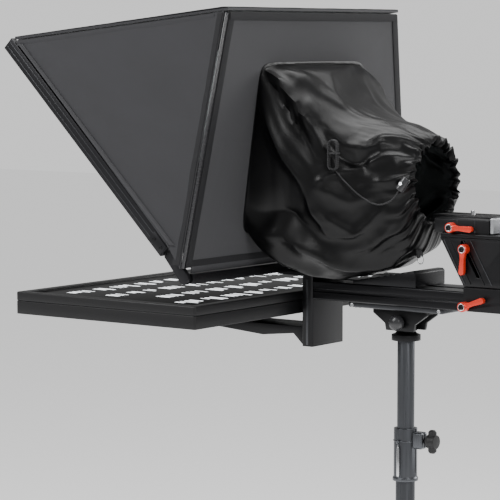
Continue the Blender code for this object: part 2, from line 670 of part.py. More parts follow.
# ---------------------------------------------------------------- monitor
def make_monitor(head, finish):
    """Bezel, display panel, back shell with its boards and sockets, keys, and the bracket below."""
    half, front = MONITOR_WIDTH / 2, MONITOR_REAR - MONITOR_DEPTH
    middle = MONITOR_REAR - MONITOR_DEPTH / 2
    bezel_low = MONITOR_TOP - BEZEL_HEIGHT
    bezel = block("monitor_bezel", (-half, half), (front, MONITOR_REAR), (bezel_low, MONITOR_TOP),
                  finish["black_plastic"], head, 0.0035, "Z", 3)
    window = block("bezel_window", (-SCREEN_WIDTH / 2, SCREEN_WIDTH / 2),
                   (middle - SCREEN_DEPTH / 2, middle + SCREEN_DEPTH / 2), (bezel_low - 0.01, MONITOR_TOP + 0.01),
                   finish["black_plastic"], head)
    cut(bezel, window)
    block("display_panel", (-SCREEN_WIDTH / 2 + GAP, SCREEN_WIDTH / 2 - GAP),
          (middle - SCREEN_DEPTH / 2 + GAP, middle + SCREEN_DEPTH / 2 - GAP),
          (bezel_low + 0.001, MONITOR_TOP - SCREEN_RECESS), finish["screen"], head)

    shell_top = bezel_low - GAP
    shell_low = shell_top - SHELL_HEIGHT
    shell = block("monitor_back_shell", (-half, half), (front, MONITOR_REAR), (shell_low, shell_top),
                  finish["black_plastic"], head, 0.0035, "Z", 3)
    bulge = tapered("shell_bulge", BULGE_WIDTH, BULGE_DEPTH, middle, shell_low + 0.001,
                    shell_low - BULGE_HEIGHT, BULGE_SLOPE, finish["black_plastic"], head)
    cavity = block("shell_cavity", (-half + SHELL_WALL, half - SHELL_WALL),
                   (front + SHELL_WALL, MONITOR_REAR - SHELL_WALL), (shell_low + SHELL_WALL, shell_top + 0.01),
                   finish["black_plastic"], head)
    well = tapered("bulge_cavity", BULGE_WIDTH - 2 * SHELL_WALL, BULGE_DEPTH - 2 * SHELL_WALL, middle,
                   shell_low + SHELL_WALL + 0.001, shell_low - BULGE_HEIGHT + SHELL_WALL, BULGE_SLOPE,
                   finish["black_plastic"], head)
    join(shell, bulge)
    cut(shell, cavity, well)

    bulge_floor = shell_low - BULGE_HEIGHT + SHELL_WALL
    block("driver_board", (-0.120, 0.100), (middle - 0.060, middle + 0.060),
          (bulge_floor + 0.003, bulge_floor + 0.0046), finish["circuit"], head)
    make_keys(head, shell, (shell_low + shell_top) / 2, finish)
    make_monitor_bracket(head, shell_low - BULGE_HEIGHT, middle, finish)


def tapered(name, width, depth, middle, top, bottom, slope, finish, holder):
    """A shallow pan that narrows by slope on each side from its top to its bottom."""
    shape = bmesh.new()
    bmesh.ops.create_cube(shape, size=1.0)
    for vert in shape.verts:
        inset = 0.0 if vert.co.z > 0 else slope
        vert.co = Vector((math.copysign(width / 2 - inset, vert.co.x),
                          middle + math.copysign(depth / 2 - inset, vert.co.y),
                          top if vert.co.z > 0 else bottom))
    return keep(name, mesh_of(shape, name), finish, holder)


KEY_NAMES = ("power_key", "menu_key", "select_key")


def make_keys(head, shell, height, finish):
    """Keys in slots through the shell's rear wall, on the camera operator's right."""
    for number, name in enumerate(KEY_NAMES):
        x = -0.235 + BUTTON_PITCH * number
        wide, tall = BUTTON_WIDTH / 2, BUTTON_HEIGHT / 2
        axis = empty(name + "_travel", MONITOR_REAR, height, x, parent=head)
        block(name, (x - wide, x + wide), (MONITOR_REAR - 0.006, MONITOR_REAR + BUTTON_PROUD),
              (height - tall, height + tall), finish["black_plastic"], axis, 0.0006)
        wide += BUTTON_CLEARANCE
        tall += BUTTON_CLEARANCE
        slot = block(name + "_slot", (x - wide, x + wide), (MONITOR_REAR - 0.008, MONITOR_REAR + 0.01),
                     (height - tall, height + tall), finish["black_plastic"], head)
        cut(shell, slot)


def make_monitor_bracket(head, bulge_low, middle, finish):
    """The plate bolted under the monitor, and the arm from it to the upright."""
    plate_top = bulge_low - GAP
    half = VESA_SIDE / 2
    block("monitor_mount_plate", (-half, half), (middle - half, middle + half),
          (plate_top - VESA_THICKNESS, plate_top), finish["black_metal"], head, 0.001, "Z")
    top = plate_top - VESA_THICKNESS - GAP
    rear = UPRIGHT_FRONT - GAP
    outline = [(middle - half, top), (middle - half, top - 0.005), (rear - 0.078, top - 0.017),
               (rear - 0.022, top - 0.011), (rear - 0.006, top - 0.026), (rear, top - 0.026),
               (rear, top + 0.014), (rear - 0.006, top + 0.014), (rear - 0.006, top)]
    prism("monitor_arm", outline, "X", -ARM_WIDTH / 2, ARM_WIDTH / 2, finish["black_metal"], head)


# ---------------------------------------------------------------- glass frame and hood
def frame_point(along, out):
    """A (Y, Z) point in the leaning frame: along it from its lower end, and out towards the speaker."""
    point = Vector((FRAME_FOOT_Y, FRAME_FOOT_Z)) + FRAME_ALONG * along + FRAME_OUT * out
    return tuple(point)


def frame_outline(along, out):
    """The (Y, Z) corners of a piece that spans these (low, high) stretches of the leaning frame."""
    return [frame_point(along[0], out[0]), frame_point(along[1], out[0]),
            frame_point(along[1], out[1]), frame_point(along[0], out[1])]


def make_glass_frame(hood, finish):
    """Four L-section members round the glass, and the hinge arms at its lower corners."""
    half = HOOD_WIDTH / 2
    wall, face = half - FRAME_WALL, half - FRAME_FACE
    for side, label in ((1, "right"), (-1, "left")):
        x = sorted((side * wall, side * half))
        member = prism(f"frame_{label}_rail", frame_outline((0, FRAME_LENGTH), (0, FRAME_DEPTH)), "X",
                       x[0], x[1], finish["black_metal"], hood)
        x = sorted((side * face, side * (wall + 0.002)))
        lip = prism(f"frame_{label}_lip", frame_outline((0, FRAME_LENGTH), (GLASS_SEAT, FRAME_DEPTH)), "X",
                    x[0], x[1], finish["black_metal"], hood)
        join(member, lip, *hinge_lug(hood, side, label, finish))
    for label, low, high, lip_low, lip_high in (
        ("bottom", 0, FRAME_WALL, FRAME_WALL - 0.002, FRAME_FACE),
        ("top", FRAME_LENGTH - FRAME_WALL, FRAME_LENGTH, FRAME_LENGTH - FRAME_FACE, FRAME_LENGTH - FRAME_WALL + 0.002),
    ):
        end = face - GAP
        member = prism(f"frame_{label}_rail", frame_outline((low, high), (0, FRAME_DEPTH)), "X", -end, end,
                       finish["black_metal"], hood)
        lip = prism(f"frame_{label}_lip", frame_outline((lip_low, lip_high), (GLASS_SEAT, FRAME_DEPTH)), "X",
                    -end, end, finish["black_metal"], hood)
        join(member, lip)
    end = wall - GAP
    prism("beam_splitter_glass",
          frame_outline((FRAME_WALL + GAP, FRAME_LENGTH - FRAME_WALL - GAP),
                        (GLASS_SEAT - GAP - GLASS_THICKNESS, GLASS_SEAT - GAP)),
          "X", -end, end, finish["glass"], hood)


def hinge_lug(hood, side, label, finish):
    """The lug that runs from a side rail's lower end down to the crossbar, and its pivot pin."""
    inner = hinge_lug_inner()
    x = sorted((side * inner, side * (inner + HINGE_LUG)))
    from_foot = Vector((HOOD_PIVOT_Y - FRAME_FOOT_Y, HOOD_PIVOT_Z - FRAME_FOOT_Z))
    pivot = (from_foot.dot(FRAME_ALONG), from_foot.dot(FRAME_OUT))
    behind_glass = GLASS_SEAT - GLASS_THICKNESS - 2 * GAP
    path = [(0.060, -0.003), (0.060, behind_glass), (-0.002, behind_glass), (-0.002, FRAME_DEPTH - 0.001)]
    path += arc(pivot, HINGE_FOOT_D / 2, 90, 270, 6)
    path += [(-0.014, 0.004), (0.0, -0.003)]
    lug = prism(f"hinge_lug_{label}", [frame_point(a, b) for a, b in path], "X", x[0], x[1],
                finish["black_metal"], hood)
    profile = [(0, inner - 0.014), (PIVOT_D / 2, inner - 0.014), (PIVOT_D / 2, inner + 0.002), (0, inner + 0.002)]
    pin = turned(f"hinge_pin_{label}", [(r, side * a) for r, a in profile], "X",
                 (0, HOOD_PIVOT_Y, HOOD_PIVOT_Z), finish["chrome"], hood, SMALL_TURN)
    return lug, pin


def side_x(y, z):
    """The outer face of the hood's side panel, a plane through its three corners."""
    foot, top = frame_corner(0), frame_corner(FRAME_LENGTH)
    rear = Vector((HOOD_REAR_TOP_Y, HOOD_REAR_TOP_Z))
    run = top - foot
    normal = Vector((run.y, -run.x))
    share = normal.dot(Vector((y, z)) - foot) / normal.dot(rear - foot)
    return (HOOD_WIDTH - share * (HOOD_WIDTH - HOOD_TOP_WIDTH)) / 2


def back_y(z):
    """The outer face of the back panel at a height."""
    share = (z - HOOD_FOLD_FOOT_Z) / (HOOD_REAR_TOP_Z - HOOD_FOLD_FOOT_Z)
    return HOOD_FOLD_FOOT_Y + share * (HOOD_REAR_TOP_Y - HOOD_FOLD_FOOT_Y)


def top_z(y):
    """The upper face of the top panel at a distance from the column."""
    front = frame_corner(FRAME_LENGTH)
    share = (y - front.x) / (HOOD_REAR_TOP_Y - front.x)
    return front.y + share * (HOOD_REAR_TOP_Z - front.y)


def frame_corner(along):
    return Vector(frame_point(along, 0))


def sheet_prism(name, corners, inward, finish, holder):
    """A panel from its outer face's corners, given its thickness by a step inward."""
    shape = bmesh.new()
    outer = [shape.verts.new(c) for c in corners]
    inner = [shape.verts.new(Vector(c) + Vector(inward)) for c in corners]
    shape.faces.new(outer)
    shape.faces.new(inner[::-1])
    for i in range(len(corners)):
        j = (i + 1) % len(corners)
        shape.faces.new((outer[i], inner[i], inner[j], outer[j]))
    return keep(name, mesh_of(shape, name), finish, holder)


def make_hood(hood, finish):
    """Two side panels, top and back panels of stiffened fabric, and the rods down the rear folds."""
    clear = ROD_D + 2 * GAP
    fabric = finish["hood_fabric"]
    lip = -2 * GAP
    low_front = frame_point(0, lip)
    high_front = frame_point(FRAME_LENGTH - PANEL - 0.003, lip)
    foot_z = HOOD_FOLD_FOOT_Z + 0.002
    rear_foot = (back_y(foot_z) - clear, foot_z)
    rear_y = HOOD_REAR_TOP_Y - clear
    rear_top = (rear_y, top_z(rear_y) - PANEL - 2 * GAP)
    front_top = (high_front[0] + 0.003, top_z(high_front[0] + 0.003) - PANEL - 2 * GAP)
    for side, label in ((1, "right"), (-1, "left")):
        corners = [Vector((side * side_x(y, z), y, z))
                   for y, z in (low_front, high_front, front_top, rear_top, rear_foot)]
        sheet_prism(f"hood_side_{label}", corners, (-side * PANEL, 0, 0), fabric, hood)

    rear_z = rear_top[1]
    rows = ((foot_z, back_y(foot_z)), (rear_z, back_y(rear_z)))
    corners = [Vector((-(side_x(y, z) - clear), y, z)) for z, y in rows]
    corners += [Vector((side_x(y, z) - clear, y, z)) for z, y in rows[::-1]]
    back = sheet_prism("hood_back_panel", corners, (0, -PANEL, 0), fabric, hood)
    half = WINDOW_WIDTH / 2
    window = block("lens_window", (-half, half), (HOOD_FOLD_FOOT_Y - 0.04, HOOD_REAR_TOP_Y + 0.04),
                   (WINDOW_BOTTOM, WINDOW_TOP), fabric, hood, 0.020, "Y", 3)
    cut(back, window)

    front = frame_corner(FRAME_LENGTH).x + 0.006
    corners = [Vector((x, y, top_z(y))) for x, y in (
        (-side_x(front, top_z(front)), front), (side_x(front, top_z(front)), front),
        (HOOD_TOP_WIDTH / 2, HOOD_REAR_TOP_Y), (-HOOD_TOP_WIDTH / 2, HOOD_REAR_TOP_Y))]
    sheet_prism("hood_top_panel", corners, (0, 0, -PANEL), fabric, hood)

    inset = ROD_D / 2
    for side, label in ((1, "right"), (-1, "left")):
        ends = []
        for z in (foot_z, rear_z - 0.002):
            y = back_y(z)
            ends.append(Vector((side * (side_x(y, z) - inset), y - inset, z)))
        rod(f"hood_rod_{label}", ends[0], ends[1], ROD_D / 2, finish["black_metal"], hood)


def rod(name, start, end, radius, finish, holder, sides=12):
    """A straight round bar between two points."""
    shape = bmesh.new()
    along = end - start
    turn = along.to_track_quat("Z", "Y").to_matrix()
    rings = []
    for point in (start, end):
        ring = []
        for i in range(sides):
            angle = math.tau * i / sides
            ring.append(shape.verts.new(point + turn @ Vector((math.cos(angle), math.sin(angle), 0)) * radius))
        rings.append(ring)
    for i in range(sides):
        j = (i + 1) % sides
        shape.faces.new((rings[0][i], rings[0][j], rings[1][j], rings[1][i]))
    shape.faces.new(rings[0][::-1])
    shape.faces.new(rings[1])
    return keep(name, mesh_of(shape, name), finish, holder)


# ---------------------------------------------------------------- lens sleeve and drawstring
def sleeve_ring(shape, half, bottom, top, squareness, depth, sides=40):
    """One ring of the sleeve, a rounded rectangle. depth gives Y from a point's height."""
    ring = []
    middle, tall = (top + bottom) / 2, (top - bottom) / 2
    power = 2 / squareness
    for i in range(sides):
        angle = math.tau * i / sides
        c, s = math.cos(angle), math.sin(angle)
        x = half * math.copysign(abs(c) ** power, c)
        z = middle + tall * math.copysign(abs(s) ** power, s)
        ring.append(shape.verts.new((x, depth(z), z)))
    return ring


def make_sleeve(hood, finish):
    """A loose fabric tube from the back panel's window to a gathered mouth for the lens."""
    shape = bmesh.new()
    half, bottom, top = SLEEVE_ROOT
    outer = [sleeve_ring(shape, half, bottom, top, 6.0, lambda z: back_y(z) + GAP)]
    outer += [sleeve_ring(shape, h, b, t, q, lambda z, y=y: y) for y, t, b, h, q in SLEEVE_RINGS]
    wall = SLEEVE_WALL
    inner = [sleeve_ring(shape, half - wall, bottom + wall, top - wall, 6.0, lambda z: back_y(z) + GAP)]
    inner += [sleeve_ring(shape, h - wall, b + wall, t - wall, q, lambda z, y=y: y)
              for y, t, b, h, q in SLEEVE_RINGS]
    loop = outer + inner[::-1]
    count = len(loop[0])
    for first, second in zip(loop, loop[1:] + loop[:1]):
        for i in range(count):
            j = (i + 1) % count
            shape.faces.new((first[i], first[j], second[j], second[i]))
    keep("lens_sleeve", mesh_of(shape, "lens_sleeve"), finish["sleeve_fabric"], hood)
    make_drawstring(hood, finish)


def smooth_route(points, step):
    """Evenly spaced points on a smooth curve through the given ones."""
    ends = [2 * Vector(points[0]) - Vector(points[1]), 2 * Vector(points[-1]) - Vector(points[-2])]
    knots = [ends[0]] + [Vector(p) for p in points] + [ends[1]]
    fine = []
    for a, b, c, d in zip(knots, knots[1:], knots[2:], knots[3:]):
        for i in range(40):
            t = i / 40
            fine.append(0.5 * (2 * b + (c - a) * t + (2 * a - 5 * b + 4 * c - d) * t ** 2
                               + (3 * b - a - 3 * c + d) * t ** 3))
    fine.append(knots[-2])
    length = sum((b - a).length for a, b in zip(fine, fine[1:]))
    count = max(2, round(length / step))
    even, travelled, target = [fine[0]], 0.0, length / count
    for a, b in zip(fine, fine[1:]):
        travelled += (b - a).length
        if travelled >= target - 1e-9 and len(even) < count:
            even.append(b)
            target += length / count
    even.append(fine[-1])
    return even


def make_drawstring(hood, finish):
    """The cord that gathers the mouth: its run down the sleeve, its tied hank and its cord lock."""
    points = smooth_route(CORD_ROUTE, 2.5 * CORD_D)
    curve = bpy.data.curves.new("drawstring", "CURVE")
    curve.dimensions = "3D"
    curve.bevel_depth = CORD_D / 2
    curve.bevel_resolution = 2
    curve.use_fill_caps = True
    spline = curve.splines.new("POLY")
    spline.points.add(len(points) - 1)
    for knot, point in zip(spline.points, points):
        knot.co = (*(point - axis_of(hood)), 1.0)
    curve.materials.append(finish["cord"])
    cord = bpy.data.objects.new("drawstring", curve)
    bpy.context.scene.collection.objects.link(cord)
    cord.parent = hood

    x, y, z = HANK_CENTRE
    straight, radius = HANK_LENGTH / 2 - HANK_WIDTH / 2, HANK_WIDTH / 2
    outline = arc((y, z + straight), radius, 0, 180, 6) + arc((y, z - straight), radius, 180, 360, 6)
    prism("drawstring_hank", outline, "X", x - HANK_THICKNESS / 2, x + HANK_THICKNESS / 2, finish["cord"], hood)

    end, before = points[-1], points[-2]
    direction = (end - before).normalized()
    start = end + direction * GAP
    rod("cord_lock", start, start + direction * CORD_LOCK_LENGTH, CORD_LOCK_D / 2, finish["black_plastic"], hood)


# ---------------------------------------------------------------- camera riser
def make_wedge(head, finish):
    """The wedge-shaped rest on the rail, with a ribbed slope."""
    base = RAIL_TOP + GAP
    outline = [(WEDGE_FRONT, base), (WEDGE_REAR, base), (WEDGE_REAR, base + WEDGE_HIGH - 0.003),
               (WEDGE_REAR - 0.003, base + WEDGE_HIGH), (WEDGE_REAR - 0.012, base + WEDGE_HIGH)]
    ribs = 9
    run = WEDGE_REAR - 0.012 - WEDGE_FRONT
    for i in range(ribs):
        for step, sunk in ((0.15, 0.0016), (0.55, 0.0016), (0.60, 0.0)):
            share = 1 - (i + step) / ribs
            height = WEDGE_LOW + share * (WEDGE_HIGH - WEDGE_LOW)
            outline.append((WEDGE_FRONT + share * run, base + height - sunk))
        share = 1 - (i + 1) / ribs
        outline.append((WEDGE_FRONT + share * run, base + WEDGE_LOW + share * (WEDGE_HIGH - WEDGE_LOW)))
    half = RAIL_WIDTH / 2 - 0.001
    prism("rail_wedge", outline, "X", -half, half, finish["black_metal"], head)


def make_carriage(head, finish):
    """The saddle that slides on the rail, its clamping lever and the guide box that stands on it."""
    carriage = empty("carriage_slide", CARRIAGE_FRONT, RAIL_TOP, parent=head)
    inner, outer = RAIL_WIDTH / 2 + SLIDE_GAP, RAIL_WIDTH / 2 + CARRIAGE_SKIRT
    low, roof = RAIL_TOP - CARRIAGE_DROP, CARRIAGE_Z
    top = roof + CARRIAGE_TOP
    half = inner
    outline = [(-outer, low), (-inner, low), (-inner, roof), (inner, roof), (inner, low), (outer, low),
               (outer, top - 0.002), (outer - 0.002, top), (-outer + 0.002, top), (-outer, top - 0.002)]
    rear = CARRIAGE_FRONT + CARRIAGE_LENGTH
    saddle = prism("rail_carriage", outline, "Y", CARRIAGE_FRONT, rear, finish["black_metal"], carriage)
    lever_z = RAIL_TOP - 0.0190
    hole = prism("carriage_lever_hole", arc((BOLT_Y, lever_z), BOLT_D / 2 + GAP, 0, 337.5, 15), "X",
                 half - 0.005, outer + 0.01, finish["black_metal"], carriage)
    cut(saddle, hole)
    make_lever("carriage_lever", carriage, (outer + GAP, BOLT_Y, lever_z), 19, CARRIAGE_SKIRT - SLIDE_GAP,
               finish)
    make_guide(carriage, top + GAP, finish)
    return carriage


def make_lever(name, parent, place_at, angle, shank, finish):
    """A red clamping lever: hub with a hex socket, a tapering arm in the plane across X, and its shank."""
    x, y, z = place_at
    axis = empty(name + "_axis", y, z, x, parent=parent)
    reach = LEVER_HUB_D / 2
    red = finish["red_lever"]
    profile = [(0, -shank), (BOLT_D / 2, -shank), (BOLT_D / 2, 0), (reach, 0), (reach, LEVER_HUB_LENGTH - 0.001),
               (reach - 0.001, LEVER_HUB_LENGTH), (0.0026, LEVER_HUB_LENGTH),
               (0.0026, LEVER_HUB_LENGTH - 0.003), (0, LEVER_HUB_LENGTH - 0.003)]
    lever = turned(name, [(r, a + x) for r, a in profile], "X", (0, y, z), red, axis, 20)
    turn = math.radians(angle)
    along, across = Vector((math.cos(turn), math.sin(turn))), Vector((-math.sin(turn), math.cos(turn)))
    here = Vector((y, z))
    tip = arc((0, 0), 0.0042, -80, 80, 4)
    local = [(0.003, -0.0046), (0.014, -0.0030)]
    local += [(LEVER_REACH - 0.0042 + a, b) for a, b in tip]
    local += [(0.014, 0.0030), (0.003, 0.0046)]
    outline = [here + along * a + across * b for a, b in local]
    low = x + LEVER_HUB_LENGTH - LEVER_THICKNESS - 0.0015
    join(lever, prism(name + "_arm", outline, "X", low, low + LEVER_THICKNESS, red, axis))
    return lever


def leaning(y, z, height):
    """A point of the riser at its foot (y, z), carried up along the lean of its slots."""
    return (y - height * math.tan(RISER_LEAN), z + height)


def make_guide(carriage, base, finish):
    """An open box between the cheeks that holds the two bolts that they slide on."""
    outer = CHEEK_INNER - SLIDE_GAP
    inset, height = 0.004, CHEEK_HEIGHT - 0.006
    rear = CARRIAGE_FRONT + CHEEK_LENGTH - inset
    front = CARRIAGE_FRONT + inset
    outline = [(front, base), (rear, base), leaning(rear, base, height), leaning(front, base, height)]
    guide = prism("riser_guide", outline, "X", -outer, outer, finish["black_metal"], carriage)
    wall = GUIDE_WALL / math.cos(RISER_LEAN)
    inner = [leaning(front + wall, base, -0.02), leaning(rear - wall, base, -0.02),
             leaning(rear - wall, base, height + 0.02), leaning(front + wall, base, height + 0.02)]
    hollow = prism("guide_hollow", inner, "X", -outer + GUIDE_WALL, outer - GUIDE_WALL,
                   finish["black_metal"], carriage)
    bolt_z = CHEEK_BOTTOM + BOLT_HEIGHT
    reach = CHEEK_INNER + CHEEK_THICKNESS
    holes = [prism(f"guide_hole_{i}", arc((BOLT_Y + i * BOLT_PITCH, bolt_z), BOLT_D / 2 + GAP, 0, 337.5, 15),
                   "X", -reach - 0.01, reach + 0.01, finish["black_metal"], carriage) for i in (0, 1)]
    cut(guide, hollow, *holes)

    washer = reach + GAP
    make_lever("riser_lever", carriage, (washer, BOLT_Y, bolt_z), -93, 2 * reach + 2 * GAP, finish)
    rear_bolt = [(0, -washer - 0.004), (0.0055, -washer - 0.004), (0.0055, -washer), (BOLT_D / 2, -washer),
                 (BOLT_D / 2, washer), (0.0055, washer), (0.0055, washer + 0.004), (0, washer + 0.004)]
    turned("riser_guide_bolt", rear_bolt, "X", (0, BOLT_Y + BOLT_PITCH, bolt_z), finish["black_metal"], carriage,
           SMALL_TURN)


def make_riser(carriage, finish):
    """Two slotted cheeks and the platform on them, which climb together along the slots."""
    riser = empty("riser_slide", BOLT_Y, CHEEK_BOTTOM + BOLT_HEIGHT, parent=carriage)
    front, rear = CARRIAGE_FRONT, CARRIAGE_FRONT + CHEEK_LENGTH
    outline = [(front, CHEEK_BOTTOM), (rear, CHEEK_BOTTOM), leaning(rear, CHEEK_BOTTOM, CHEEK_HEIGHT),
               leaning(front, CHEEK_BOTTOM, CHEEK_HEIGHT)]
    for side, label in ((1, "right"), (-1, "left")):
        x = sorted((side * CHEEK_INNER, side * (CHEEK_INNER + CHEEK_THICKNESS)))
        cheek = prism(f"riser_cheek_{label}", outline, "X", x[0], x[1], finish["black_metal"], riser)
        for i in (0, 1):
            cut(cheek, cheek_slot(f"cheek_slot_{label}_{i}", i, x, riser, finish))
    top = CHEEK_TOP + GAP
    half = CHEEK_INNER + CHEEK_THICKNESS
    lean = CHEEK_HEIGHT * math.tan(RISER_LEAN)
    block("riser_platform", (-half, half), (front - lean, rear - lean), (top, top + TOP_PLATE),
          finish["black_metal"], riser, 0.001)
    make_clamp_base(riser, finish)
    return riser


def cheek_slot(name, number, x, riser, finish):
    """The cutter of a round-ended slot along the lean, from above its bolt to below it."""
    up = Vector((-math.sin(RISER_LEAN), math.cos(RISER_LEAN)))
    bolt = Vector((BOLT_Y + number * BOLT_PITCH, CHEEK_BOTTOM + BOLT_HEIGHT))
    high, low = bolt + up * SLOT_ABOVE, bolt - up * (RISER_TRAVEL + 2 * GAP)
    lean = math.degrees(RISER_LEAN)
    outline = arc(tuple(high), SLOT_WIDTH / 2, lean, lean + 180, 6)
    outline += arc(tuple(low), SLOT_WIDTH / 2, lean + 180, lean + 360, 6)
    return prism(name, outline, "X", x[0] - 0.01, x[1] + 0.01, finish["black_metal"], riser)


def make_clamp_base(riser, finish):
    """The clamp with a dovetail channel, its lever, the camera plate and the camera screw."""
    half, plate = CLAMP_BASE_WIDTH / 2, CAMERA_PLATE_HALF
    low, high = CLAMP_BASE_Z, CLAMP_BASE_Z + CLAMP_BASE_HEIGHT
    seat = high - 0.0085
    edge = SLIDE_GAP + 0.0004
    rise = high - seat
    outline = [(-half, low), (half, low), (half, high - 0.0015), (half - 0.0015, high),
               (plate - DOVETAIL + edge, high), (plate + edge, seat), (-plate - edge, seat),
               (-plate + DOVETAIL - edge, high), (-half + 0.0015, high), (-half, high - 0.0015)]
    rear = CLAMP_BASE_FRONT + CLAMP_BASE_LENGTH
    base = prism("plate_clamp", outline, "Y", CLAMP_BASE_FRONT, rear, finish["black_metal"], riser)
    lever = (0.1037, low + 0.0075)
    hole = prism("plate_lever_hole", arc(lever, BOLT_D / 2 + GAP, 0, 337.5, 15), "X", half - 0.013, half + 0.01,
                 finish["black_metal"], riser)
    cut(base, hole)
    make_lever("plate_lever", riser, (half + GAP, *lever), -2, 0.012, finish)

    slide = empty("camera_plate_slide", CAMERA_PLATE_FRONT, seat, parent=riser)
    low, top = seat + SLIDE_GAP, seat + SLIDE_GAP + CAMERA_PLATE_HEIGHT
    upper = plate - DOVETAIL * (rise - SLIDE_GAP) / rise
    outline = [(-plate, low), (plate, low), (upper, high), (upper, top - 0.001), (upper - 0.001, top),
               (-upper + 0.001, top), (-upper, top - 0.001), (-upper, high)]
    end = rear + GAP
    tongue = prism("camera_plate", outline, "Y", CAMERA_PLATE_FRONT, end - GAP, finish["black_metal"], slide)
    screw_y = (CAMERA_PLATE_FRONT + end) / 2
    slot = block("camera_plate_slot", (-0.0036, 0.0036), (screw_y - 0.030, screw_y + 0.030),
                 (low - 0.01, top + 0.01), finish["black_metal"], slide, 0.0035, "Z", 3)
    recess = block("camera_plate_recess", (-0.0085, 0.0085), (screw_y - 0.035, screw_y + 0.035),
                   (low - 0.01, low + 0.004), finish["black_metal"], slide, 0.006, "Z", 3)
    cut(tongue, slot, recess)
    block("plate_end_stop", (-half + 0.001, half - 0.001), (end, end + END_STOP), (CLAMP_BASE_Z + GAP, top - GAP),
          finish["chrome"], slide, 0.001)
    screw_axis = empty("camera_screw_axis", screw_y, low, parent=slide)
    profile = [(0, low + 0.0006), (0.0075, low + 0.0006), (0.0075, low + 0.0036), (0.00315, low + 0.0036),
               (0.00315, top + 0.0055), (0.0026, top + 0.0062), (0, top + 0.0062)]
    turned("camera_screw", profile, "Z", (0, screw_y, 0), finish["chrome"], screw_axis, SMALL_TURN)


# ---------------------------------------------------------------- the whole object
def build():
    clear_scene()
    finish = finishes()
    root = empty("teleprompter")
    root.location.y = ROOT_Y
    make_tripod(root, finish)
    column = make_column(root, finish)
    make_socket(column, finish)
    head = make_head(column, finish)
    make_monitor(head, finish)
    make_wedge(head, finish)
    hood = empty("hood_tilt", HOOD_PIVOT_Y, HOOD_PIVOT_Z, parent=head)
    make_glass_frame(hood, finish)
    make_hood(hood, finish)
    make_sleeve(hood, finish)
    carriage = make_carriage(head, finish)
    make_riser(carriage, finish)


build()
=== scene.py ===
"""A camera teleprompter on its stand: the finish of every visible piece, on the CAD frame."""

import math
import random

import bpy
from mathutils import Matrix, Vector, noise


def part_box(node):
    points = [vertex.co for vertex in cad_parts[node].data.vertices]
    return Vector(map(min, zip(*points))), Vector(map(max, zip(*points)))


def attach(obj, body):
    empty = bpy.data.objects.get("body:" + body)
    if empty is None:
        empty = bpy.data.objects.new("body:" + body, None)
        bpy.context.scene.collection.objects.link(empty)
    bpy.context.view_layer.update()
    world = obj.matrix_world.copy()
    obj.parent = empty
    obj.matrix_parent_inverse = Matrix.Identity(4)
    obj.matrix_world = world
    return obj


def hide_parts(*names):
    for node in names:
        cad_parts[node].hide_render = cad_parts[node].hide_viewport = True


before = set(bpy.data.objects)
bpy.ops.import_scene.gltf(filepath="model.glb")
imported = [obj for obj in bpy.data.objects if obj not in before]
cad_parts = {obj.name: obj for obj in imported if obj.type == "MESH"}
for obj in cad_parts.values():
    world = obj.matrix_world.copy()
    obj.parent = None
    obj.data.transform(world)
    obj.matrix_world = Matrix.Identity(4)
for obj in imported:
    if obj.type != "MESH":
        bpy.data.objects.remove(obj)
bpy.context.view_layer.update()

# Studio: a pale floor and large soft lights round the object.
# The camera stands behind and to one side of the operator's place, a little above the rail.
camera_data = bpy.data.cameras.new("camera")
camera_data.lens = 167.4
camera_data.sensor_width = 36.0
camera = bpy.data.objects.new("camera", camera_data)
bpy.context.scene.collection.objects.link(camera)
camera.location = (2.790, 1.844, 1.3413)
camera.rotation_mode = "QUATERNION"
camera.rotation_quaternion = (-Vector((0.8016, 0.5910, 0.0906))).to_track_quat("-Z", "Y")
bpy.context.scene.camera = camera


def deselect():
    if bpy.context.object and bpy.context.object.mode != "OBJECT":
        bpy.ops.object.mode_set(mode="OBJECT")
    bpy.ops.object.select_all(action="DESELECT")


def choose(piece):
    deselect()
    piece.select_set(True)
    bpy.context.view_layer.objects.active = piece


def linear(code):
    """A hex sRGB colour as linear RGBA."""
    parts = [int(code[i:i + 2], 16) / 255 for i in (1, 3, 5)]
    return (*[c / 12.92 if c <= 0.04045 else ((c + 0.055) / 1.055) ** 2.4 for c in parts], 1.0)


def new_material(name):
    made = bpy.data.materials.new(name)
    made.use_nodes = True
    return made, made.node_tree.nodes["Principled BSDF"]


def wire(material, made, inputs):
    for key, value in inputs.items():
        if isinstance(value, bpy.types.NodeSocket):
            material.node_tree.links.new(value, made.inputs[key])
        else:
            made.inputs[key].default_value = value


def node(material, kind, inputs=None, **settings):
    """Adds a node, with its settings, and each input as a value or as the output it is linked to."""
    made = material.node_tree.nodes.new(kind)
    for key, value in settings.items():
        setattr(made, key, value)
    wire(material, made, inputs or {})
    return made


def place_material(piece, *finishes):
    piece.data.materials.clear()
    for finish in finishes:
        piece.data.materials.append(finish)


pale_paint, shader = new_material("studio_white_paint")
wire(pale_paint, shader, {"Base Color": linear("#F8F8F8"), "Roughness": 0.9,
                          "Emission Color": linear("#FFFFFF"),
                          "Emission Strength": 0.45})
deselect()
bpy.ops.mesh.primitive_plane_add(size=24, location=(-3, -3, 0))
floor = bpy.context.object
floor.name = "studio_floor"
place_material(floor, pale_paint)

world = bpy.context.scene.world or bpy.data.worlds.new("studio")
bpy.context.scene.world = world
world.use_nodes = True
# The backdrop is bright where it is seen and dim as a light, so that black finishes stay black.
seen_directly = node(world, "ShaderNodeLightPath")
brightness = node(world, "ShaderNodeMapRange", {"Value": seen_directly.outputs["Is Camera Ray"],
                                                "To Min": 0.42,
                                                "To Max": 0.92})
wire(world, world.node_tree.nodes["Background"], {"Color": (1.0, 1.0, 1.0, 1.0),
                                                  "Strength": brightness.outputs["Result"]})

